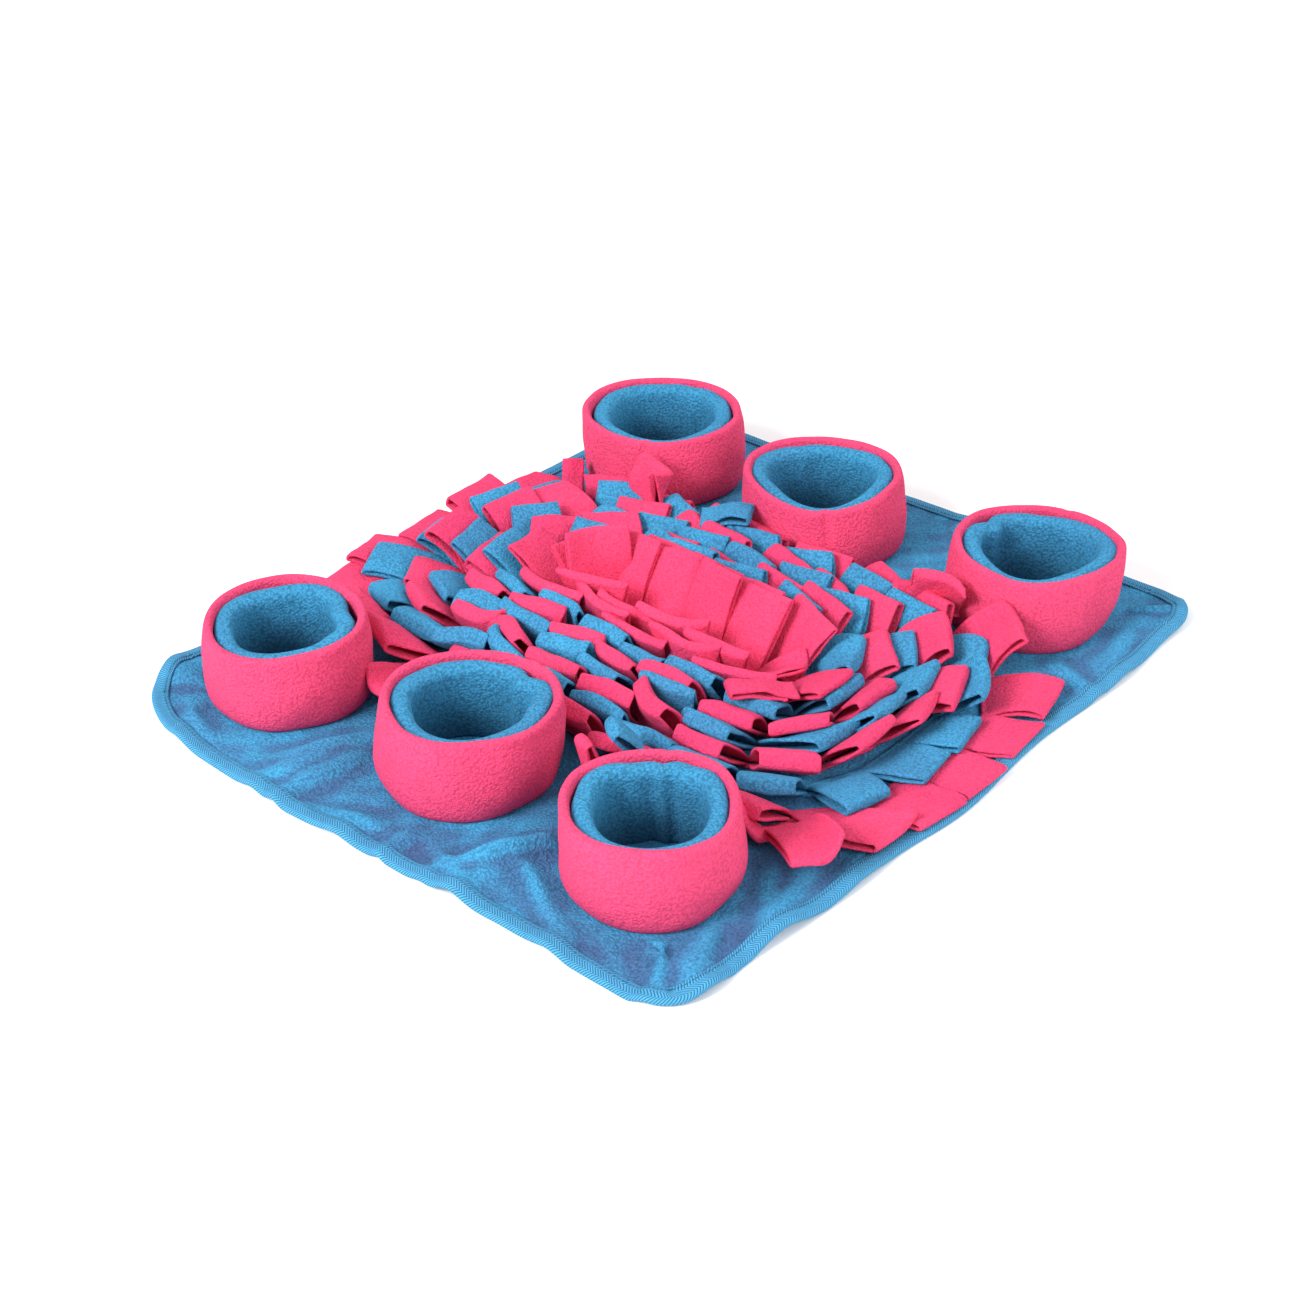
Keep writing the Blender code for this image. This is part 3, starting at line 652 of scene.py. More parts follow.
class SnuffleMatAddMat(bpy.types.Operator):
    """Add the mat: one sheet of blue fleece, with soft folds towards its edges"""

    bl_idname = "snuffle_mat.add_mat"
    bl_label = "Add Mat"

    def execute(self, context):
        x, y = np.meshgrid(np.linspace(-CLOTH_X, CLOTH_X, MAT_LINES[0]),
                           np.linspace(-CLOTH_Y, CLOTH_Y, MAT_LINES[1]))
        inset = np.minimum(CLOTH_X - np.abs(x), CLOTH_Y - np.abs(y))
        over_tape = 1 - smooth_step(0.6 * TAPE_WIDTH, TAPE_WIDTH, inset)
        pulled = PULLED * np.exp(-((inset - TAPE_WIDTH - PULLED_AWAY) / PULLED_HALF) ** 2)
        top, bottom = mat_point(x, y, MAT_THICK - pulled), mat_point(x, y, EDGE_RISE * over_tape)
        top[..., 2] += NAP_RIPPLE * ripple(top, 0.021, 3) * (1 - over_tape)
        deep = self.depth(top[..., 2])
        columns = MAT_LINES[0]

        def shaded_hollows(quads):
            """How deep each corner lies, for the painted shade in the mat's troughs. A section runs over
            the columns and back below them.
            """
            place = quads[..., 1]
            column = np.where(place % (2 * columns) < columns, place, 2 * columns - 1 - place)
            return np.stack([deep[quads[..., 0], column % columns]] * 2, -1).reshape(-1, 2)

        piece = add_piece("mat_cloth", flat_shell(top, bottom), cloth("blue_mat_fleece"),
                          ["mat"], rim=0, pattern=shaded_hollows)
        return {"FINISHED"}

    def depth(self, height):
        """How far each point lies below the mean of the four that are some lines away, 0 to 1."""
        away = HOLLOW_LINES
        padded = np.pad(height, away, mode="edge")
        here = slice(away, -away)
        mean = (padded[2 * away:, here] + padded[:-2 * away, here]
                + padded[here, 2 * away:] + padded[here, :-2 * away]) / 4
        return smooth_step(*HOLLOW_DEPTHS, mean - height)


# ---------------------------------------------------------------- the binding
def edge_lines(steps):
    """Even steps round the cloth's edge: the flat grid's place there, and the run along it."""
    corners = np.array([(-1, -1), (1, -1), (1, 1), (-1, 1), (-1, -1)]) * (CLOTH_X, CLOTH_Y)
    sides = np.linalg.norm(np.diff(corners, axis=0), axis=1)
    run = np.concatenate([[0], np.cumsum(sides)])
    place = np.linspace(0, run[-1], steps, endpoint=False)
    return np.interp(place, run, corners[:, 0]), np.interp(place, run, corners[:, 1])


def tape_frames(steps):
    """For each step round the mat: the tape's inner line, the cloth's edge and the way out."""
    x, y = edge_lines(steps)
    inner_x = np.clip(x, TAPE_WIDTH - CLOTH_X, CLOTH_X - TAPE_WIDTH)
    inner_y = np.clip(y, TAPE_WIDTH - CLOTH_Y, CLOTH_Y - TAPE_WIDTH)
    edge, inner = mat_point(x, y, 0.0), mat_point(inner_x, inner_y, 0.0)
    out = edge - inner
    out[:, 2] = 0
    return inner, edge, unit(out)


def tape_section(inner, edge, out):
    """The tape folded round the edge: over the cloth, down outside it and back under it."""
    top, low = MAT_THICK + TAPE_GAP + TAPE_THICK / 2, EDGE_RISE - TAPE_GAP - TAPE_THICK / 2
    width = np.linalg.norm((edge - inner)[:, :2], axis=1)[:, None]
    outside = TAPE_GAP + TAPE_THICK / 2
    # (share of the width from the inner line, extra outwards, height)
    stations = ((0.0, -0.0002, top), (0.25, 0, top + 0.0003), (0.55, 0, top + 0.0004),
                (0.85, 0, top + 0.0002), (1.0, 0.6 * outside, top - 0.0001),
                (1.0, outside, 0.72 * top + 0.28 * low),
                (1.0, outside, 0.28 * top + 0.72 * low), (1.0, 0.6 * outside, low),
                (0.85, 0, low), (0.5, 0, low), (0.2, 0, low), (0.0, 0, low))
    rows = []
    for share, extra, height in stations:
        point = inner + out * (width * share + extra)
        point[:, 2] = inner[:, 2] + height
        rows.append(point)
    return np.stack(rows, 1)


class SnuffleMatAddBinding(bpy.types.Operator):
    """Add the binding: a herringbone tape folded round the mat's edge, and its stitches"""

    bl_idname = "snuffle_mat.add_binding"
    bl_label = "Add Binding"

    def execute(self, context):
        sizes = context.scene.snuffle_mat_sizes
        inner, edge, out = tape_frames(TAPE_STEPS)
        stations = tape_section(inner, edge, out)
        middle = np.einsum("sc,rcx->rsx", spline_weights(stations.shape[1], TAPE_ROWS), stations)[None]
        middle[..., 2] += 0.00012 * ripple(middle, 0.017, 5)
        around = 2 * TAPE_ROWS + 4
        lengths = np.linalg.norm(np.roll(edge, -1, 0) - edge, axis=1)
        run = np.concatenate([[0], np.cumsum(lengths)])
        wide = np.linalg.norm(np.diff(middle[0], axis=1), axis=2).mean(0)
        across = np.concatenate([[0], np.cumsum(wide)])
        across = np.concatenate([across, across[-1:], across[-1:], across[::-1], across[:1], across[:1]])

        def herringbone(quads):
            """Metres across and along the tape, at each corner."""
            return np.stack([across[quads[..., 1] % around], run[quads[..., 0]]], -1).reshape(-1, 2)

        tape = add_piece("binding_tape", rounded_shell(middle, TAPE_THICK, True),
                         cloth("blue_tape_twill"), ["binding"], wraps=True,
                         pattern=herringbone)
        stitches = self.add_stitches(sizes.stitch, run[-1])
        return {"FINISHED"}

    def add_stitches(self, stitch, around):
        """Short round threads end to end along the tape's inner line, each arched over the tape."""
        count = int(around / stitch)
        inner, edge, out = tape_frames(4 * count)
        line = inner + out * STITCH_INSET
        line[:, 2] += MAT_THICK + TAPE_GAP + TAPE_THICK + 0.0001
        line = line.reshape(count, 4, 3)
        line[:, (1, 2), 2] += STITCH_ARCH
        turn = np.linspace(0, 2 * math.pi, 6, endpoint=False)
        way = unit(line[:, -1:] - line[:, :1])
        side = np.cross(way, (0, 0, 1))
        ring = np.cos(turn)[:, None] * side[:, :, None] + np.sin(turn)[:, None] * np.array((0, 0, 1.0))
        thick = np.array((0.00012, 0.00028, 0.00028, 0.00012))[:, None, None]
        sections = line[:, :, None] + ring * thick
        return add_piece("binding_stitches", sections, cloth("blue_tape_twill"), rim=0)


# ---------------------------------------------------------------- the cups
LINING_DIP_TURN = math.radians(-50)  # the side on which the linings' rims hang lower

# Creases of a cup's lining or wall, and places where a wall is drawn in at its foot: the middle of
# each round the cup, its width, how deep it is, and the share of the height at which it starts.
Crease = namedtuple("Crease", "cup part turn wide deep start")
CUP_CREASES = (
    Crease("near_left", "lining", 150, 26, 0.0030, 0.2),
    Crease("near_left", "lining", 62, 16, 0.0026, 0.2),
    Crease("near_left", "lining", 8, 14, 0.0026, 0.3),
    Crease("near_mid", "lining", 78, 9, 0.0050, 0.0),
    Crease("near_mid", "lining", 30, 14, 0.0024, 0.2),
    Crease("near_mid", "lining", 175, 24, 0.0024, 0.2),
    Crease("near_right", "lining", 120, 6, 0.0030, -0.4),
    Crease("near_right", "lining", 148, 12, 0.0022, -0.2),
    Crease("near_right", "lining", 96, 9, 0.0024, -0.2),
    Crease("near_right", "lining", 200, 14, 0.0016, 0.3),
    Crease("far_left", "lining", 200, 30, 0.0024, 0.3),
    Crease("far_left", "lining", 100, 8, 0.0016, 0.0),
    Crease("far_mid", "lining", 100, 20, 0.0024, 0.3),
    Crease("far_mid", "lining", 150, 8, 0.0016, 0.0),
    Crease("far_right", "lining", 172, 9, 0.0055, 0.1),
    Crease("far_right", "lining", 120, 20, 0.0020, 0.2),
    Crease("far_left", "wall", -62, 3.0, 0.0022, -1.0),
    Crease("far_mid", "wall", -50, 3.0, 0.0022, -1.0),
    Crease("far_right", "wall", 100, 3.2, 0.0012, -1.0),
    Crease("near_left", "wall", 80, 3.2, 0.0012, -1.0),
    Crease("near_mid", "wall", 95, 3.2, 0.0012, -1.0),
    Crease("near_right", "wall", 118, 3.2, 0.0014, -1.0),
    Crease("near_right", "wall", 165, 20, 0.0016, 0.5),
    Crease("near_mid", "wall", -120, 22, 0.0014, 0.4),
    Crease("near_left", "wall", -20, 24, 0.0014, 0.4),
    Crease("far_right", "wall", -95, 16, 0.0020, 0.5),
    Crease("near_right", "foot", 8, 26, 0.0050, 0.0),
    Crease("near_right", "foot", -100, 24, 0.0016, 0.0),
    Crease("near_mid", "foot", -8, 22, 0.0030, 0.0),
    Crease("near_mid", "foot", -110, 20, 0.0026, 0.0),
    Crease("near_left", "foot", -30, 18, 0.0026, 0.0),
    Crease("near_left", "foot", -95, 20, 0.0018, 0.0),
    Crease("far_left", "foot", -20, 22, 0.0024, 0.0),
    Crease("far_mid", "foot", -10, 24, 0.0028, 0.0),
    Crease("far_right", "foot", 5, 24, 0.0036, 0.0),
    Crease("far_right", "foot", -90, 20, 0.0020, 0.0),
)


def tube_middle(cup, part, stations, rows):
    """Middle points (1, steps, rows, 3) of a standing tube of cloth.

    Its section is a smooth curve through (radius, height) stations. Going round the cup, the
    radius grows and shrinks as an oval, a three-cornered and a four-cornered wave, more so
    towards the rim, which also tips a little to one side. Each crease takes a narrow bell out of
    the radius.
    """
    section = spline_weights(len(stations), rows) @ np.array(stations)
    turn = np.linspace(0, 2 * math.pi, CUP_STEPS, endpoint=False)[:, None]
    radius, height = section[:, 0], section[:, 1]
    share = np.clip(height / CUP_HEIGHT, 0, 1.1)
    rise = share ** 1.3
    inside = part == "lining"
    waves = ((2, cup.lining_oval if inside else cup.oval, cup.oval_turn),
             (3, cup.lining_corner if inside else cup.corner, cup.corner_turn),
             (4, cup.lining_square if inside else cup.square, cup.square_turn))
    around = 1 + rise * sum(size * np.cos(count * (turn - math.radians(start)))
                            for count, size, start in waves)
    sag = cup.dip * np.maximum(0, np.cos(turn - math.radians(cup.dip_turn))) ** 3
    if inside:
        sag = sag + cup.lining_dip * np.maximum(0, np.cos(turn - LINING_DIP_TURN)) ** 2
    reach = radius * around
    for crease in CUP_CREASES:
        if crease.cup == cup.name and (crease.part == "lining") == inside:
            off = np.degrees(np.angle(np.exp(1j * (turn - math.radians(crease.turn)))))
            taken = crease.deep * np.exp(-(off / crease.wide) ** 2)
            if crease.part == "foot":
                reach = reach - taken * (1 - smooth_step(0.0, 0.45, share))
            else:
                reach = reach - taken * smooth_step(crease.start - 0.4, crease.start + 0.4, share)
    tip = cup.tip * rise
    tip_x, tip_y = tip * math.cos(math.radians(cup.tip_turn)), tip * math.sin(math.radians(cup.tip_turn))
    points = np.stack([cup.x + tip_x + reach * np.cos(turn), cup.y + tip_y + reach * np.sin(turn),
                       MAT_TOP + height - sag * rise], -1)
    seed = len(part) + int(1000 * abs(cup.x))
    soft = 0.0009 * ripple(points, 0.052, seed) + 0.0004 * ripple(points, 0.021, seed)
    soft = soft * smooth_step(0.0, 0.3, share)
    points[..., :2] += soft[..., None] * np.concatenate([np.cos(turn), np.sin(turn)], 1)[:, None]
    return points[None]


def wall_stations(outer, gap):
    """Up outside from the sewn foot, over the round rim and down inside."""
    top = CUP_HEIGHT - FLEECE / 2
    inner = outer - gap
    return ((outer - 0.0036, 0.0010), (outer - 0.0012, 0.0035), (outer, 0.012), (outer + 0.0003, 0.028),
            (outer - 0.0006, 0.044), (outer - 0.0014, top - 0.0045), (outer - 0.0020, top + 0.0004),
            ((outer + inner) / 2 - 0.0010, top + 0.0008), (inner + 0.0002, top + 0.0004),
            (inner - 0.0004, top - 0.0045), (inner, 0.044), (inner + 0.0010, 0.028),
            (inner + 0.0010, 0.014), (inner + 0.0010, 0.0012))


def lining_stations(rim, roll):
    """Up outside from the foot, over a puffy roll and down inside."""
    foot, top = rim + 0.0005, LINING_HEIGHT
    return ((foot, 0.0012), (foot - 0.0002, 0.014), (rim - 0.0002, 0.032), (rim, top - 3.0 * roll),
            (rim + 0.0002, top - 1.5 * roll), (rim + 0.0002, top + 0.0 * roll),
            (rim - 1.2 * roll, top + 0.45 * roll), (rim - 2.6 * roll, top + 0.3 * roll),
            (rim - 3.3 * roll, top - 0.7 * roll), (rim - 3.1 * roll, top - 2.4 * roll),
            (rim - 0.0096, 0.032), (foot - 0.0094, 0.014), (foot - 0.0090, 0.0012))


def add_tube(cup, part, stations, rows, fleece):
    """Makes a cup's wall or lining. Flat, it is as long as its girth and as wide as its section."""
    node = f"cup_{part}_{cup.name}"
    piece = add_piece(node + "_cloth", rounded_shell(tube_middle(cup, part, stations, rows), FLEECE, True),
                      cloth(fleece), [node], wraps=True)


class SnuffleMatAddCupWalls(bpy.types.Operator):
    """Add the cups' walls: pink fleece doubled over at the rim and joined into a tube"""

    bl_idname = "snuffle_mat.add_cup_walls"
    bl_label = "Add Cup Walls"

    def execute(self, context):
        gap = context.scene.snuffle_mat_sizes.wall_gap
        for cup in CUPS:
            stations = wall_stations(cup.radius - FLEECE / 2, gap)
            add_tube(cup, "wall", stations, WALL_ROWS, "pink_cup_fleece")
        return {"FINISHED"}


class SnuffleMatAddCupLinings(bpy.types.Operator):
    """Add the cups' linings: blue fleece tubes with a puffy rolled rim"""

    bl_idname = "snuffle_mat.add_cup_linings"
    bl_label = "Add Cup Linings"

    def execute(self, context):
        roll = context.scene.snuffle_mat_sizes.lining_roll
        for cup in CUPS:
            radius = cup.radius - LINING_INSET
            stations = lining_stations(radius - FLEECE / 2, roll)
            add_tube(cup, "lining", stations, LINING_ROWS, "blue_lining_fleece")
        return {"FINISHED"}


# ---------------------------------------------------------------- the bands of loops
# A loop's control rows: up its inner leg, over its fold and down its outer leg, as shares of its
# length, and the sewn margins before and after them, as distances out from the seam.
LEG_ROWS = (0.10, 0.28, 0.48, 0.68, 0.85, 0.96, 1.0)
FLAP_ROWS = (ROOT_HALF + SEAM_FLAP, ROOT_HALF + 0.4 * SEAM_FLAP, ROOT_HALF)
COLUMN_PLACES = np.array((0.0, 1 / 6, 1 / 2, 5 / 6, 1.0))  # of the control columns across a loop
FLOOR = MAT_TOP + FLEECE / 2

Loops = namedtuple("Loops", "ring foot base along mitre normal wide long lean droop fold belly curl "
                            "pinch taper sway swing roll side")

# Loops that are placed one by one: degrees of lean, swing and roll, and the sway along the band. A
# positive swing turns the fold, and a positive sway moves it, counter-clockwise round the mat.
Tuck = namedtuple("Tuck", "ring loop lean swing roll sway long")
TUCKS = (
    Tuck("band_6", 23, 86, 40, 4, 0.005, 1.36),
    Tuck("band_6", 24, 86, 0, 0, 0.006, 1.16),
    Tuck("band_6", 25, 86, 0, 0, 0.003, 1.04),
    Tuck("band_6", 0, 86, 3, 0, 0.010, 0.95),
    Tuck("band_6", 1, 86, -22, 0, 0.009, 1.24),
    Tuck("band_6", 2, 50, -30, 4, -0.006, 1.36),
    Tuck("band_6", 3, 46, -10, -8, 0.003, 1.00),
    Tuck("band_5", 23, 82, 16, -4, -0.012, 1.22),
    Tuck("band_5", 24, 84, 12, 4, -0.002, 1.02),
    Tuck("band_5", 22, 58, 12, 10, -0.006, 1.05),
    Tuck("band_5", 0, 78, 12, 0, -0.001, 0.88),
    Tuck("band_5", 1, 78, -10, 8, -0.003, 1.08),
    Tuck("band_5", 2, 72, -48, -6, -0.006, 1.08),
    Tuck("band_4", 20, 44, 15, -8, 0.001, 1.00),
    Tuck("band_4", 21, 50, 18, 6, 0.006, 1.00),
    Tuck("band_4", 0, 80, -10, -4, -0.003, 1.18),
    Tuck("band_4", 1, 76, -32, 6, 0.006, 1.20),
    Tuck("band_4", 19, 54, 6, 12, 0.004, 1.00),
    Tuck("band_3", 17, 60, 48, 8, 0.008, 1.00),
    Tuck("band_3", 18, 52, 12, -8, 0.009, 1.00),
    Tuck("band_3", 0, 80, -6, 0, 0.011, 1.22),
    Tuck("band_3", 1, 68, -30, 6, 0.000, 1.05),
    Tuck("band_2", 14, 66, -8, 6, -0.008, 1.22),
    Tuck("band_2", 15, 54, -12, -6, -0.004, 1.00),
    Tuck("band_2", 0, 62, -18, 8, -0.004, 1.00),
    Tuck("band_1", 12, 62, -14, 8, 0.000, 1.00),
    Tuck("band_1", 13, 54, -8, -8, 0.000, 1.00),
    Tuck("band_1", 0, 56, -44, 12, -0.004, 0.82),
    Tuck("band_6", 17, 16, 0, 0, 0.000, 0.66),
    Tuck("band_6", 16, 84, -14, 6, -0.006, 1.45),
    Tuck("band_6", 14, 84, -28, 4, -0.010, 1.22),
    Tuck("band_6", 13, 84, 14, -4, 0.004, 1.12),
    Tuck("band_6", 12, 78, 6, 6, 0.002, 1.04),
    Tuck("band_6", 11, 72, 8, -6, 0.000, 1.00),
    Tuck("band_6", 10, 76, 34, 6, 0.008, 1.05),
    Tuck("band_6", 9, 66, 18, -8, 0.004, 0.80),
    Tuck("band_6", 8, 40, 8, 8, 0.004, 0.72),
    Tuck("band_6", 7, 46, -14, 8, 0.000, 0.90),
    Tuck("petals_outer", 11, 62, 0, 6, -0.004, 1.25),
    Tuck("petals_outer", 0, 50, -10, 8, 0.000, 1.00),
    Tuck("petals_inner", 9, 70, 30, 0, 0.004, 0.85),
    Tuck("petals_inner", 4, 30, -8, 6, 0.004, 1.10),
    Tuck("petals_outer", 5, 46, 6, -6, 0.000, 1.10),
    Tuck("band_5", 13, 80, 18, 4, 0.006, 1.20),
    Tuck("band_5", 12, 66, 14, -8, 0.004, 1.05),
    Tuck("band_5", 11, 50, -6, 6, 0.000, 1.05),
    Tuck("band_5", 10, 66, 26, 4, 0.004, 1.05),
    Tuck("band_5", 9, 58, 10, -8, 0.002, 1.00),
    Tuck("band_4", 13, 50, 0, 0, 0.000, 0.94),
    Tuck("band_4", 10, 46, 12, 8, 0.006, 1.10),
    Tuck("band_4", 9, 62, 10, -4, 0.000, 1.05),
    Tuck("band_4", 11, 72, 8, 6, 0.000, 1.00),
    Tuck("band_4", 8, 50, 40, 6, 0.010, 1.18),
    Tuck("band_3", 9, 60, 10, 6, 0.000, 1.05),
    Tuck("band_3", 8, 56, -6, -6, 0.000, 1.00),
    Tuck("band_1", 6, 50, 4, 4, 0.004, 1.28),
)


class Relief:
    """The height of what is already laid, kept on a level grid of square cells."""

    def __init__(self):
        """Starts with the mat's folds, its tape and the cups."""
        self.low = np.array((-0.29, -0.33))
        size = np.ceil(-2 * self.low / CELL).astype(int)
        x, y = np.meshgrid(*(low + (np.arange(count) + 0.5) * CELL for low, count in zip(self.low, size)),
                           indexing="ij")
        self.high = fold_height(x, y) + MAT_THICK + SEAT_GAP
        edge = (np.abs(x) > CLOTH_X - TAPE_WIDTH) | (np.abs(y) > CLOTH_Y - TAPE_WIDTH)
        self.high[edge] += EDGE_RISE
        self.high[(np.abs(x) > CLOTH_X) | (np.abs(y) > CLOTH_Y)] = 0
        for cup in CUPS:
            self.high[np.hypot(x - cup.x, y - cup.y) < cup.radius + 0.0015] = CUP_HEIGHT

    def cell(self, points):
        """The cells that points are over."""
        place = ((points[..., :2] - self.low) / CELL).astype(int)
        return tuple(np.moveaxis(np.clip(place, 0, np.array(self.high.shape) - 1), -1, 0))

    def under(self, points):
        """How high the pile is below points."""
        return self.high[self.cell(points)]

    def lay(self, points):
        """Raises the pile to points that are higher."""
        np.maximum.at(self.high, self.cell(points), points[..., 2])


def ring_seam(ring):
    """The ring's seam: x, y and the run along it, for a superellipse sampled by its angle."""
    turn = np.linspace(0, 2 * math.pi, RING_SAMPLES + 1)
    x, y = (np.sign(part) * np.abs(part) ** (2 / ring.power) for part in (np.cos(turn), np.sin(turn)))
    x, y = ring.mid_x + ring.half_x * x, ring.mid_y + ring.half_y * y
    run = np.concatenate([[0], np.cumsum(np.hypot(np.diff(x), np.diff(y)))])
    return x, y, run


def by_side(normal, far, near, left, right):
    """Blends four values by the way each loop faces."""
    along_x = np.where(normal[:, 0] > 0, right, left)
    along_y = np.where(normal[:, 1] > 0, far, near)
    return along_x * normal[:, 0] ** 2 + along_y * normal[:, 1] ** 2


def ring_loops(ring, number, settings):
    """Each loop of a ring, standing on one side of the polygon that the ring's joints make."""
    x, y, run = ring_seam(ring)
    place = (np.arange(ring.loops) + ring.start) * run[-1] / ring.loops % run[-1]
    joints = np.stack([np.interp(place, run, x), np.interp(place, run, y)], -1)
    chord = np.roll(joints, -1, 0) - joints
    along = unit(chord)
    normal = np.stack([along[:, 1], -along[:, 0]], -1)
    corners = unit(normal + np.roll(normal, 1, 0))
    corners = corners / (corners * normal).sum(-1, keepdims=True)
    mitre = np.stack([corners, np.roll(corners, -1, 0)], 1)
    same = random.Random(number)  # the draws that the solids' loops have
    draws = np.array([[same.uniform(-1, 1), same.uniform(-1, 1)] for _ in range(ring.loops)])
    loose = np.random.default_rng(settings.seed + number).uniform(-1, 1, (10, ring.loops))
    petal = ring.name.startswith("petals")
    near, far = np.clip(-normal[:, 1], 0, 1), np.clip(normal[:, 1], 0, 1)
    long = by_side(normal, ring.long_far, ring.long_near, ring.long_end, ring.long_end)
    long = long * (1 + LONG_JITTER * draws[:, 0] + 0.06 * loose[9])
    if petal:
        long = long * (1 - FAR_PETAL_CUT * far)
    lean = by_side(normal, ring.lean_far, ring.lean_near, ring.lean_left, ring.lean_right)
    slack = 0.0 if petal else by_side(normal, *SIDE_SLACK)
    lean = lean + LEAN_JITTER * draws[:, 1] + slack + settings.unruly * loose[0] * (0.4 if petal else 1)
    if petal:
        lean = lean + NEAR_PETAL_SLACK * near
    side = np.where(np.abs(normal[:, 0]) > END_NORMAL, np.where(normal[:, 0] > 0, "right", "left"),
                    np.where(normal[:, 1] > 0, "far", "near"))
    calm = 0.6 if petal else 1.0
    loops = Loops(
        ring=ring, foot=joints + chord / 2, base=np.zeros(ring.loops), along=along, mitre=mitre,
        normal=normal, wide=np.linalg.norm(chord, axis=1) - SLIT, long=long, lean=lean,
        droop=(12 if petal else 9) + (10 if petal else 6) * loose[1],
        fold=(0.0020 if petal else 0.0032) + (0.0010 * loose[2] + 0.0014 * near + 0.0008 * far) * calm,
        belly=settings.belly * calm * (1 + 0.8 * loose[3] + 0.6 * near),
        curl=(0.0030 if petal else 0.0012) * (1 + loose[1]) - (0.0 if petal else 0.0010),
        pinch=0.30 + 0.25 * loose[4], taper=(-0.12 - 0.40 * near if petal else 0.07) + 0.06 * loose[5],
        sway=settings.sway * loose[6],
        swing=settings.swing * loose[7] * calm * (1 + 0.6 * near + 0.4 * far),
        roll=settings.roll * loose[8] * (1.0 if petal else 1.0 + 0.3 * far), side=side)
    for tuck in TUCKS:
        if tuck.ring == ring.name:
            for name in ("lean", "swing", "roll", "sway"):
                getattr(loops, name)[tuck.loop] = getattr(tuck, name)
            loops.long[tuck.loop] *= tuck.long
    return loops


# Loops that have worked loose and lie on the rest: foot, its height above what lies there, and the
# way each falls, in degrees; the others are as a ring's.
Odd = namedtuple("Odd", "colour x y base turn wide long lean droop fold swing roll curl")
ODD_LOOPS = (
    Odd("pink", 0.186, -0.112, 0.001, -36, 0.032, 0.066, 86, 13, 0.0026, 0, 2, 0.0006),
    Odd("pink", 0.116, 0.138, 0.012, -46, 0.032, 0.040, 86, 15, 0.0034, 0, 0, 0.0030),
    Odd("pink", 0.113, -0.020, 0.009, -128, 0.017, 0.040, 86, 5, 0.0040, 0, 0, 0.0000),
    Odd("pink", -0.076, 0.008, -0.024, 158, 0.044, 0.062, 34, 20, 0.0024, -10, -16, 0.0110),
    Odd("pink", 0.075, -0.160, 0.000, -110, 0.013, 0.044, 12, 6, 0.0034, 0, 0, 0.0000),
    Odd("pink", -0.094, -0.138, 0.000, -90, 0.030, 0.050, 86, 8, 0.0030, 0, 0, 0.0010),
    Odd("pink", -0.128, 0.118, -0.010, 78, 0.034, 0.038, 64, 10, 0.0036, -28, 8, 0.0020),
    Odd("pink", -0.196, 0.112, -0.004, 130, 0.014, 0.026, 66, 10, 0.0044, 0, 8, 0.0000),
    Odd("blue", -0.060, 0.108, 0.004, 36, 0.024, 0.031, 84, 10, 0.0056, -6, 4, 0.0010),
    Odd("blue", 0.092, -0.136, -0.002, -120, 0.018, 0.034, 40, 8, 0.0036, 0, 6, 0.0000),
)
# A doubled strip that hangs from the near right cup to the first odd loop: the places that it
# passes, its width there and the way its width points, in plan and up, in degrees.
Stop = namedtuple("Stop", "x y z wide turn tilt")
HANGING_STRIP = (
    Stop(0.146, -0.1390, 0.046, 0.012, 110, -24),
    Stop(0.158, -0.1360, 0.040, 0.012, 112, -24),
    Stop(0.169, -0.1345, 0.022, 0.012, 114, -22),
    Stop(0.1785, -0.1345, 0.0105, 0.012, 118, -14),
    Stop(0.186, -0.1285, 0.0085, 0.013, 100, 8),
    Stop(0.190, -0.1180, 0.0110, 0.016, 60, 20),
    Stop(0.196, -0.1100, 0.0120, 0.022, 54, 4),
)


def hanging_strip():
    """Middle points (1, rows, columns, 3) of the strip: a spline through its stops, as wide as each."""
    stops = Stop(*np.array(HANGING_STRIP).T)
    turn, tilt = np.radians(stops.turn), np.radians(stops.tilt)
    way = np.stack([np.cos(turn) * np.cos(tilt), np.sin(turn) * np.cos(tilt), np.sin(tilt)], -1)
    middle = np.stack([stops.x, stops.y, stops.z], -1)
    share = np.linspace(-0.5, 0.5, 7)[None, :, None]
    across = middle[:, None] + way[:, None] * stops.wide[:, None, None] * share
    return np.einsum("vr,rcx->vcx", spline_weights(len(HANGING_STRIP), LOOP_ROWS), across)[None]


def odd_loops(colour, relief):
    """The odd loops of one colour, in the form of a ring's, with their feet on what lies there."""
    odd = Odd(*(np.array(values) for values in zip(*(odd for odd in ODD_LOOPS if odd.colour == colour))))
    turn = np.radians(odd.turn)
    normal = np.stack([np.cos(turn), np.sin(turn)], -1)
    along = np.stack([-np.sin(turn), np.cos(turn)], -1)
    same = np.ones(len(turn))
    foot = np.stack([odd.x, odd.y], -1)
    base = np.maximum(relief.under(foot) - MAT_TOP + odd.base, 0)
    return Loops(
        ring=None, foot=foot, base=base, along=along,
        mitre=np.stack([normal, normal], 1), normal=normal, wide=odd.wide, long=odd.long,
        lean=odd.lean, droop=odd.droop, fold=odd.fold, belly=0.0014 * same, curl=odd.curl,
        pinch=0.35 * same, taper=0.02 * same, sway=0 * same, swing=odd.swing, roll=odd.roll, side=same)


def pick(loops, chosen):
    """The same loops, but only those chosen."""
    return loops._replace(**{name: getattr(loops, name)[chosen] for name in loops._fields[1:]})


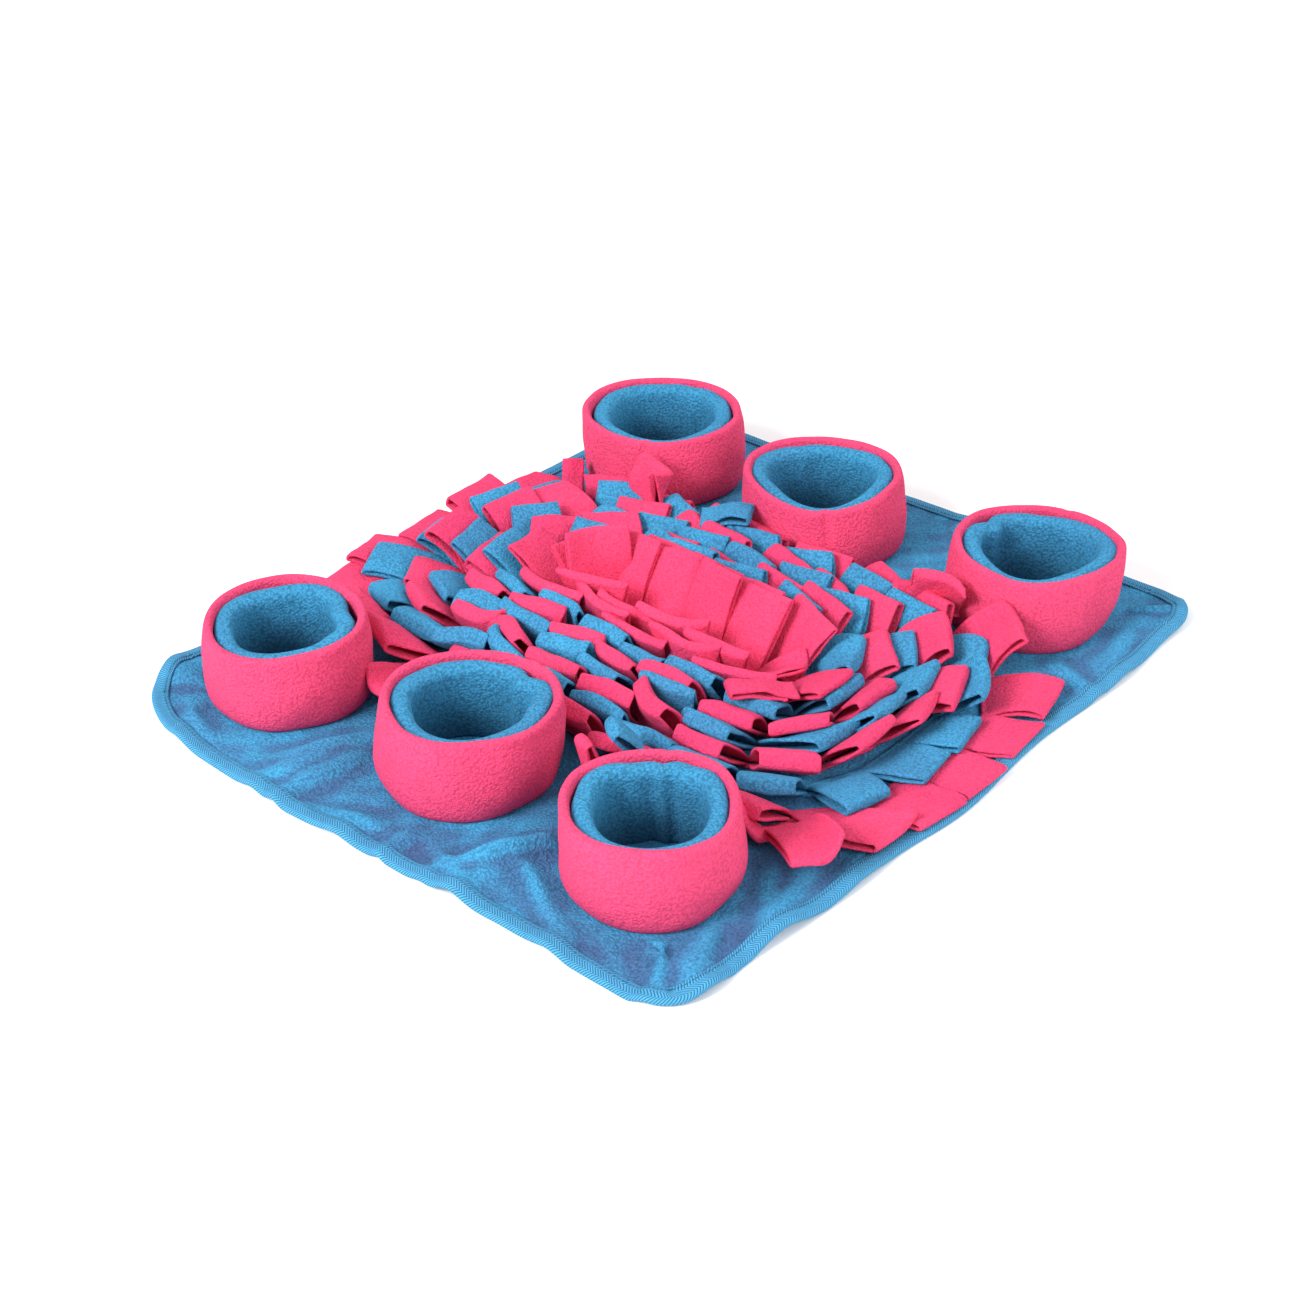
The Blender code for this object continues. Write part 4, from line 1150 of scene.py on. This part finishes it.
def spine(lean, droop, long, share):
    """(out, up, lean there) on a loop's middle line, an arc that bends evenly from seam to fold."""
    start, bend = np.radians(lean - droop), 2 * np.radians(droop)
    now = start + bend * share
    return long * (np.cos(start) - np.cos(now)) / bend, long * (np.sin(now) - np.sin(start)) / bend, now


def leg_points(loops, lean, share, side, place):
    """Points (loops, columns, shares, 3) of the legs: off the middle line by half the opening there.

    lean is (loops, columns) and place is where each column stands across the loop. Towards its
    fold a loop turns in plan, narrows and sways, and its cut edges spring apart less. The further
    it leans, the more its legs are pressed together.
    """
    def per_loop(values):
        """One value a loop, shaped to go with its columns and shares."""
        return values[:, None, None]

    share, side, place = share[None, None], side[None, None], place[None, :, None]
    out, up, turn = spine(lean[:, :, None], per_loop(loops.droop), per_loop(loops.long), share)
    half = ROOT_HALF * (1 - share) + per_loop(loops.fold) * share
    half = half + per_loop(loops.belly) * np.sin(math.pi * share ** 1.4)
    half = half * (1 - per_loop(loops.pinch) * (2 * place - 1) ** 2 * share)
    half = half * (1 - 0.35 * smooth_step(60, 84, lean[:, :, None]))
    half = np.maximum(half, 0.55 * FLEECE) * side
    half = half + per_loop(loops.curl) * (1 - (2 * place - 1) ** 2) * share
    out, up = out + half * np.cos(turn), up - half * np.sin(turn)
    across = per_loop(loops.wide) * (1 - per_loop(loops.taper) * share) * (place - 0.5)
    swing = np.radians(per_loop(loops.swing)) * share ** 1.3
    x = across * np.cos(swing) + out * np.sin(swing) + per_loop(loops.sway) * share ** 2
    y = out * np.cos(swing) - across * np.sin(swing)
    level = (loops.foot[:, None, None] + loops.along[:, None, None] * x[..., None]
             + loops.normal[:, None, None] * y[..., None])
    return np.concatenate([level, (FLOOR + per_loop(loops.base) + up)[..., None]], -1)


def sunk(points, relief):
    """How far points of a leg are below what is already laid there."""
    return np.maximum(relief.under(points) + FLEECE / 2 + CLEAR - points[..., 2], 0)


def settled_leans(loops, relief):
    """The lean of each control column: the furthest at which it sinks in no more than GIVE."""
    place = 0.1 + 0.8 * COLUMN_PLACES
    share = np.linspace(0.2, 1.0, 14)
    wished = np.clip(loops.lean[:, None] + loops.roll[:, None] * (COLUMN_PLACES - 0.5), 4, LEAN_MOST)
    found, settled = np.zeros(wished.shape, bool), wished
    for step in range(LEAN_TRIES):
        tried = np.maximum(wished - step * LEAN_STEP, 3.0)
        depth = sunk(leg_points(loops, tried, share, np.ones_like(share), place), relief).max(-1)
        settled = np.where(found, settled, tried)
        found |= depth <= GIVE
    return (1 - STIFFNESS) * settled + STIFFNESS * settled.min(1, keepdims=True)


def loop_controls(loops, lean, relief):
    """Control points (loops, columns, rows, 3): margin, leg, fold, leg, margin."""
    share = np.array(LEG_ROWS)
    inner = leg_points(loops, lean, share, -np.ones_like(share), COLUMN_PLACES)
    outer = leg_points(loops, lean, share, np.ones_like(share), COLUMN_PLACES)
    lift = sunk(leg_points(loops, lean, share, np.ones_like(share), 0.1 + 0.8 * COLUMN_PLACES), relief)
    lift = np.minimum(lift, 2 * GIVE)
    lift[..., 1:] = np.maximum(lift[..., 1:], 0.7 * lift[..., :-1])
    inner[..., 2], outer[..., 2] = inner[..., 2] + lift, outer[..., 2] + lift
    outer = outer[:, :, ::-1]
    across = (loops.wide[:, None] + SLIT) * (COLUMN_PLACES - 0.5)
    later = COLUMN_PLACES[:, None]
    mitre = loops.mitre[:, :1] * (1 - later) + loops.mitre[:, 1:] * later
    foot = loops.foot[:, None] + loops.along[:, None] * across[..., None]
    flaps = np.array([foot + mitre * out for out in (*(-out for out in FLAP_ROWS), *FLAP_ROWS[::-1])])
    flaps = np.moveaxis(flaps, 0, 2)
    high = np.broadcast_to(FLOOR + loops.base[:, None, None, None], (*flaps.shape[:-1], 1))
    flaps = np.concatenate([flaps, high], -1)
    return np.concatenate([flaps[:, :, :3], inner, outer, flaps[:, :, 3:]], 2)


def loop_surface(controls, columns, rows):
    """The loops' middle surface (loops, rows, columns, 3): a bicubic B-spline of its controls."""
    return np.einsum("uc,lcrx,vr->lvux", spline_weights(controls.shape[1], columns), controls,
                     spline_weights(controls.shape[2], rows))


def lay_ring(ring, number, relief, settings):
    """Settles a ring's loops, every other one first, and returns them with their controls."""
    loops = ring_loops(ring, number, settings)
    controls = np.zeros((ring.loops, len(COLUMN_PLACES), 2 * (len(LEG_ROWS) + len(FLAP_ROWS)), 3))
    for first in (0, 1):
        chosen = np.arange(first, ring.loops, 2)
        some = pick(loops, chosen)
        controls[chosen] = loop_controls(some, settled_leans(some, relief), relief)
        relief.lay(rounded_shell(loop_surface(controls[chosen], *LAID_DENSE), FLEECE, False))
    return loops, controls


class SnuffleMatAddLoops(bpy.types.Operator):
    """Add the bands and petals, from the outermost ring inwards, each resting on the last"""

    bl_idname = "snuffle_mat.add_loops"
    bl_label = "Add Bands And Petals"

    def execute(self, context):
        settings = context.scene.snuffle_mat_loops
        relief = Relief()
        for number in range(len(RINGS) - 1, -1, -1):
            ring = RINGS[number]
            loops, controls = lay_ring(ring, number, relief, settings)
            middle = loop_surface(controls, LOOP_COLUMNS, LOOP_ROWS)
            middle = middle + self.wrinkles(middle, number)
            for side in SIDES:
                here = loops.side == side
                self.add_length(f"{ring.name}_{side}", ring.colour, middle[here], loops.wide[here],
                                [f"{ring.name}_{side}"])
        for number, colour in enumerate(("pink", "blue")):
            loops = odd_loops(colour, relief)
            controls = loop_controls(loops, settled_leans(loops, relief), relief)
            middle = loop_surface(controls, LOOP_COLUMNS, LOOP_ROWS)
            relief.lay(rounded_shell(loop_surface(controls, *LAID_DENSE), FLEECE, False))
            middle = middle + self.wrinkles(middle, 40 + number)
            self.add_length(f"odd_{colour}_loops", colour, middle, loops.wide, [])
        strip = hanging_strip()
        piece = add_piece("hanging_strip_cloth", rounded_shell(strip, 2 * FLEECE, False),
                          cloth("pink_band_fleece"))
        return {"FINISHED"}

    def wrinkles(self, middle, number):
        """Soft dents square to the cloth, none where it is sewn down."""
        up = unit(np.cross(np.gradient(middle, axis=2), np.gradient(middle, axis=1)))
        rise = smooth_step(FLOOR, FLOOR + 0.01, middle[..., 2])
        return up * (0.0005 * ripple(middle, 0.019, 20 + number) * rise)[..., None]

    def add_length(self, name, colour, middle, wide, replaced):
        """Makes one mesh of loops, as flat as the cloth that they were slit from."""
        piece = add_piece(name + "_cloth", rounded_shell(middle, FLEECE, False),
                          cloth(colour + "_band_fleece"), replaced)


# ---------------------------------------------------------------- the stage
CAMERA_PLACE = (0.8525, -1.0056, 0.8213)
CAMERA_TURN = (math.radians(90 - 31.813), 0, math.radians(40.966))
CAMERA_LENS = 63.1  # mm
CAMERA_SENSOR = 36  # mm
FLOOR_HALF = 4.0
WORLD_LIGHT = 0.56

# Square soft lights that face the mat: where each stands, its side in metres and its watts.
Lamp = namedtuple("Lamp", "name place size power")
LAMPS = (
    Lamp("key", (-0.45, -2.5, 1.9), 1.2, 116),
    Lamp("fill", (2.4, -0.6, 1.6), 1.8, 40),
    Lamp("back", (0.8, 2.6, 2.0), 1.8, 36),
)


class SnuffleMatAddStage(bpy.types.Operator):
    """Add the pale floor, the soft studio lights and the camera"""

    bl_idname = "snuffle_mat.add_stage"
    bl_label = "Add Stage"

    def execute(self, context):
        self.add_floor(tuple(context.scene.snuffle_mat_colours.floor))
        for lamp in LAMPS:
            self.add_light(lamp)
        world = bpy.data.worlds.new("studio")
        world.use_nodes = True
        background = world.node_tree.nodes["Background"]
        background.inputs["Color"].default_value = (1, 1, 1, 1)
        background.inputs["Strength"].default_value = WORLD_LIGHT
        context.scene.world = world
        camera_data = bpy.data.cameras.new("camera")
        camera_data.lens = CAMERA_LENS
        camera_data.sensor_width = CAMERA_SENSOR
        camera = bpy.data.objects.new("camera", camera_data)
        camera.location = CAMERA_PLACE
        camera.rotation_euler = CAMERA_TURN
        context.scene.collection.objects.link(camera)
        context.scene.camera = camera
        context.scene.view_settings.view_transform = "Standard"
        return {"FINISHED"}

    def add_floor(self, colour):
        """The pale floor, which is part of the stage and not of the mat."""
        mesh = bpy.data.meshes.new("floor")
        half = FLOOR_HALF
        corners = [(-half, -half, 0), (half, -half, 0), (half, half, 0), (-half, half, 0)]
        mesh.from_pydata(corners, [], [(0, 1, 2, 3)])
        material, nodes, links, shader = new_material("pale_floor", colour, 0.9, 0.0, (1, 1, 1))
        shader.inputs["Base Color"].default_value = (*colour, 1)
        mesh.materials.append(material)
        floor = bpy.data.objects.new("floor", mesh)
        bpy.context.scene.collection.objects.link(floor)

    def add_light(self, lamp):
        """A square soft light that faces the mat's middle."""
        data = bpy.data.lights.new(lamp.name, "AREA")
        data.size = lamp.size
        data.energy = lamp.power
        light = bpy.data.objects.new(lamp.name, data)
        light.location = lamp.place
        light.rotation_euler = (-Vector(lamp.place)).to_track_quat("-Z", "Y").to_euler()
        bpy.context.scene.collection.objects.link(light)


# ---------------------------------------------------------------- panel and registration
OPERATORS = (SnuffleMatAddMat, SnuffleMatAddBinding, SnuffleMatAddCupWalls, SnuffleMatAddCupLinings,
             SnuffleMatAddLoops, SnuffleMatAddStage)
SETTINGS = {"snuffle_mat_sizes": SnuffleMatSizes, "snuffle_mat_loops": SnuffleMatLoops,
            "snuffle_mat_colours": SnuffleMatColours}


class SnuffleMatPanel(bpy.types.Panel):
    """Lists the settings, and a button for each piece or group of pieces"""

    bl_idname = "VIEW3D_PT_snuffle_mat"
    bl_label = "Snuffle Mat"
    bl_space_type = "VIEW_3D"
    bl_region_type = "UI"
    bl_category = "Snuffle Mat"

    def draw(self, context):
        for settings in SETTINGS:
            box = self.layout.box()
            group = getattr(context.scene, settings)
            for name in group.__annotations__:
                box.prop(group, name)
        for operator in OPERATORS:
            self.layout.operator(operator.bl_idname)


CLASSES = (*SETTINGS.values(), *OPERATORS, SnuffleMatPanel)


def register():
    for kind in CLASSES:
        bpy.utils.register_class(kind)
    for name, group in SETTINGS.items():
        setattr(bpy.types.Scene, name, PointerProperty(type=group))


def unregister():
    for name in SETTINGS:
        delattr(bpy.types.Scene, name)
    for kind in reversed(CLASSES):
        bpy.utils.unregister_class(kind)


def main():
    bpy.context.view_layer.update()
    register()
    bpy.ops.snuffle_mat.add_mat()
    bpy.ops.snuffle_mat.add_binding()
    bpy.ops.snuffle_mat.add_cup_walls()
    bpy.ops.snuffle_mat.add_cup_linings()
    bpy.ops.snuffle_mat.add_loops()
    bpy.ops.snuffle_mat.add_stage()


if __name__ == "__main__":
    main()
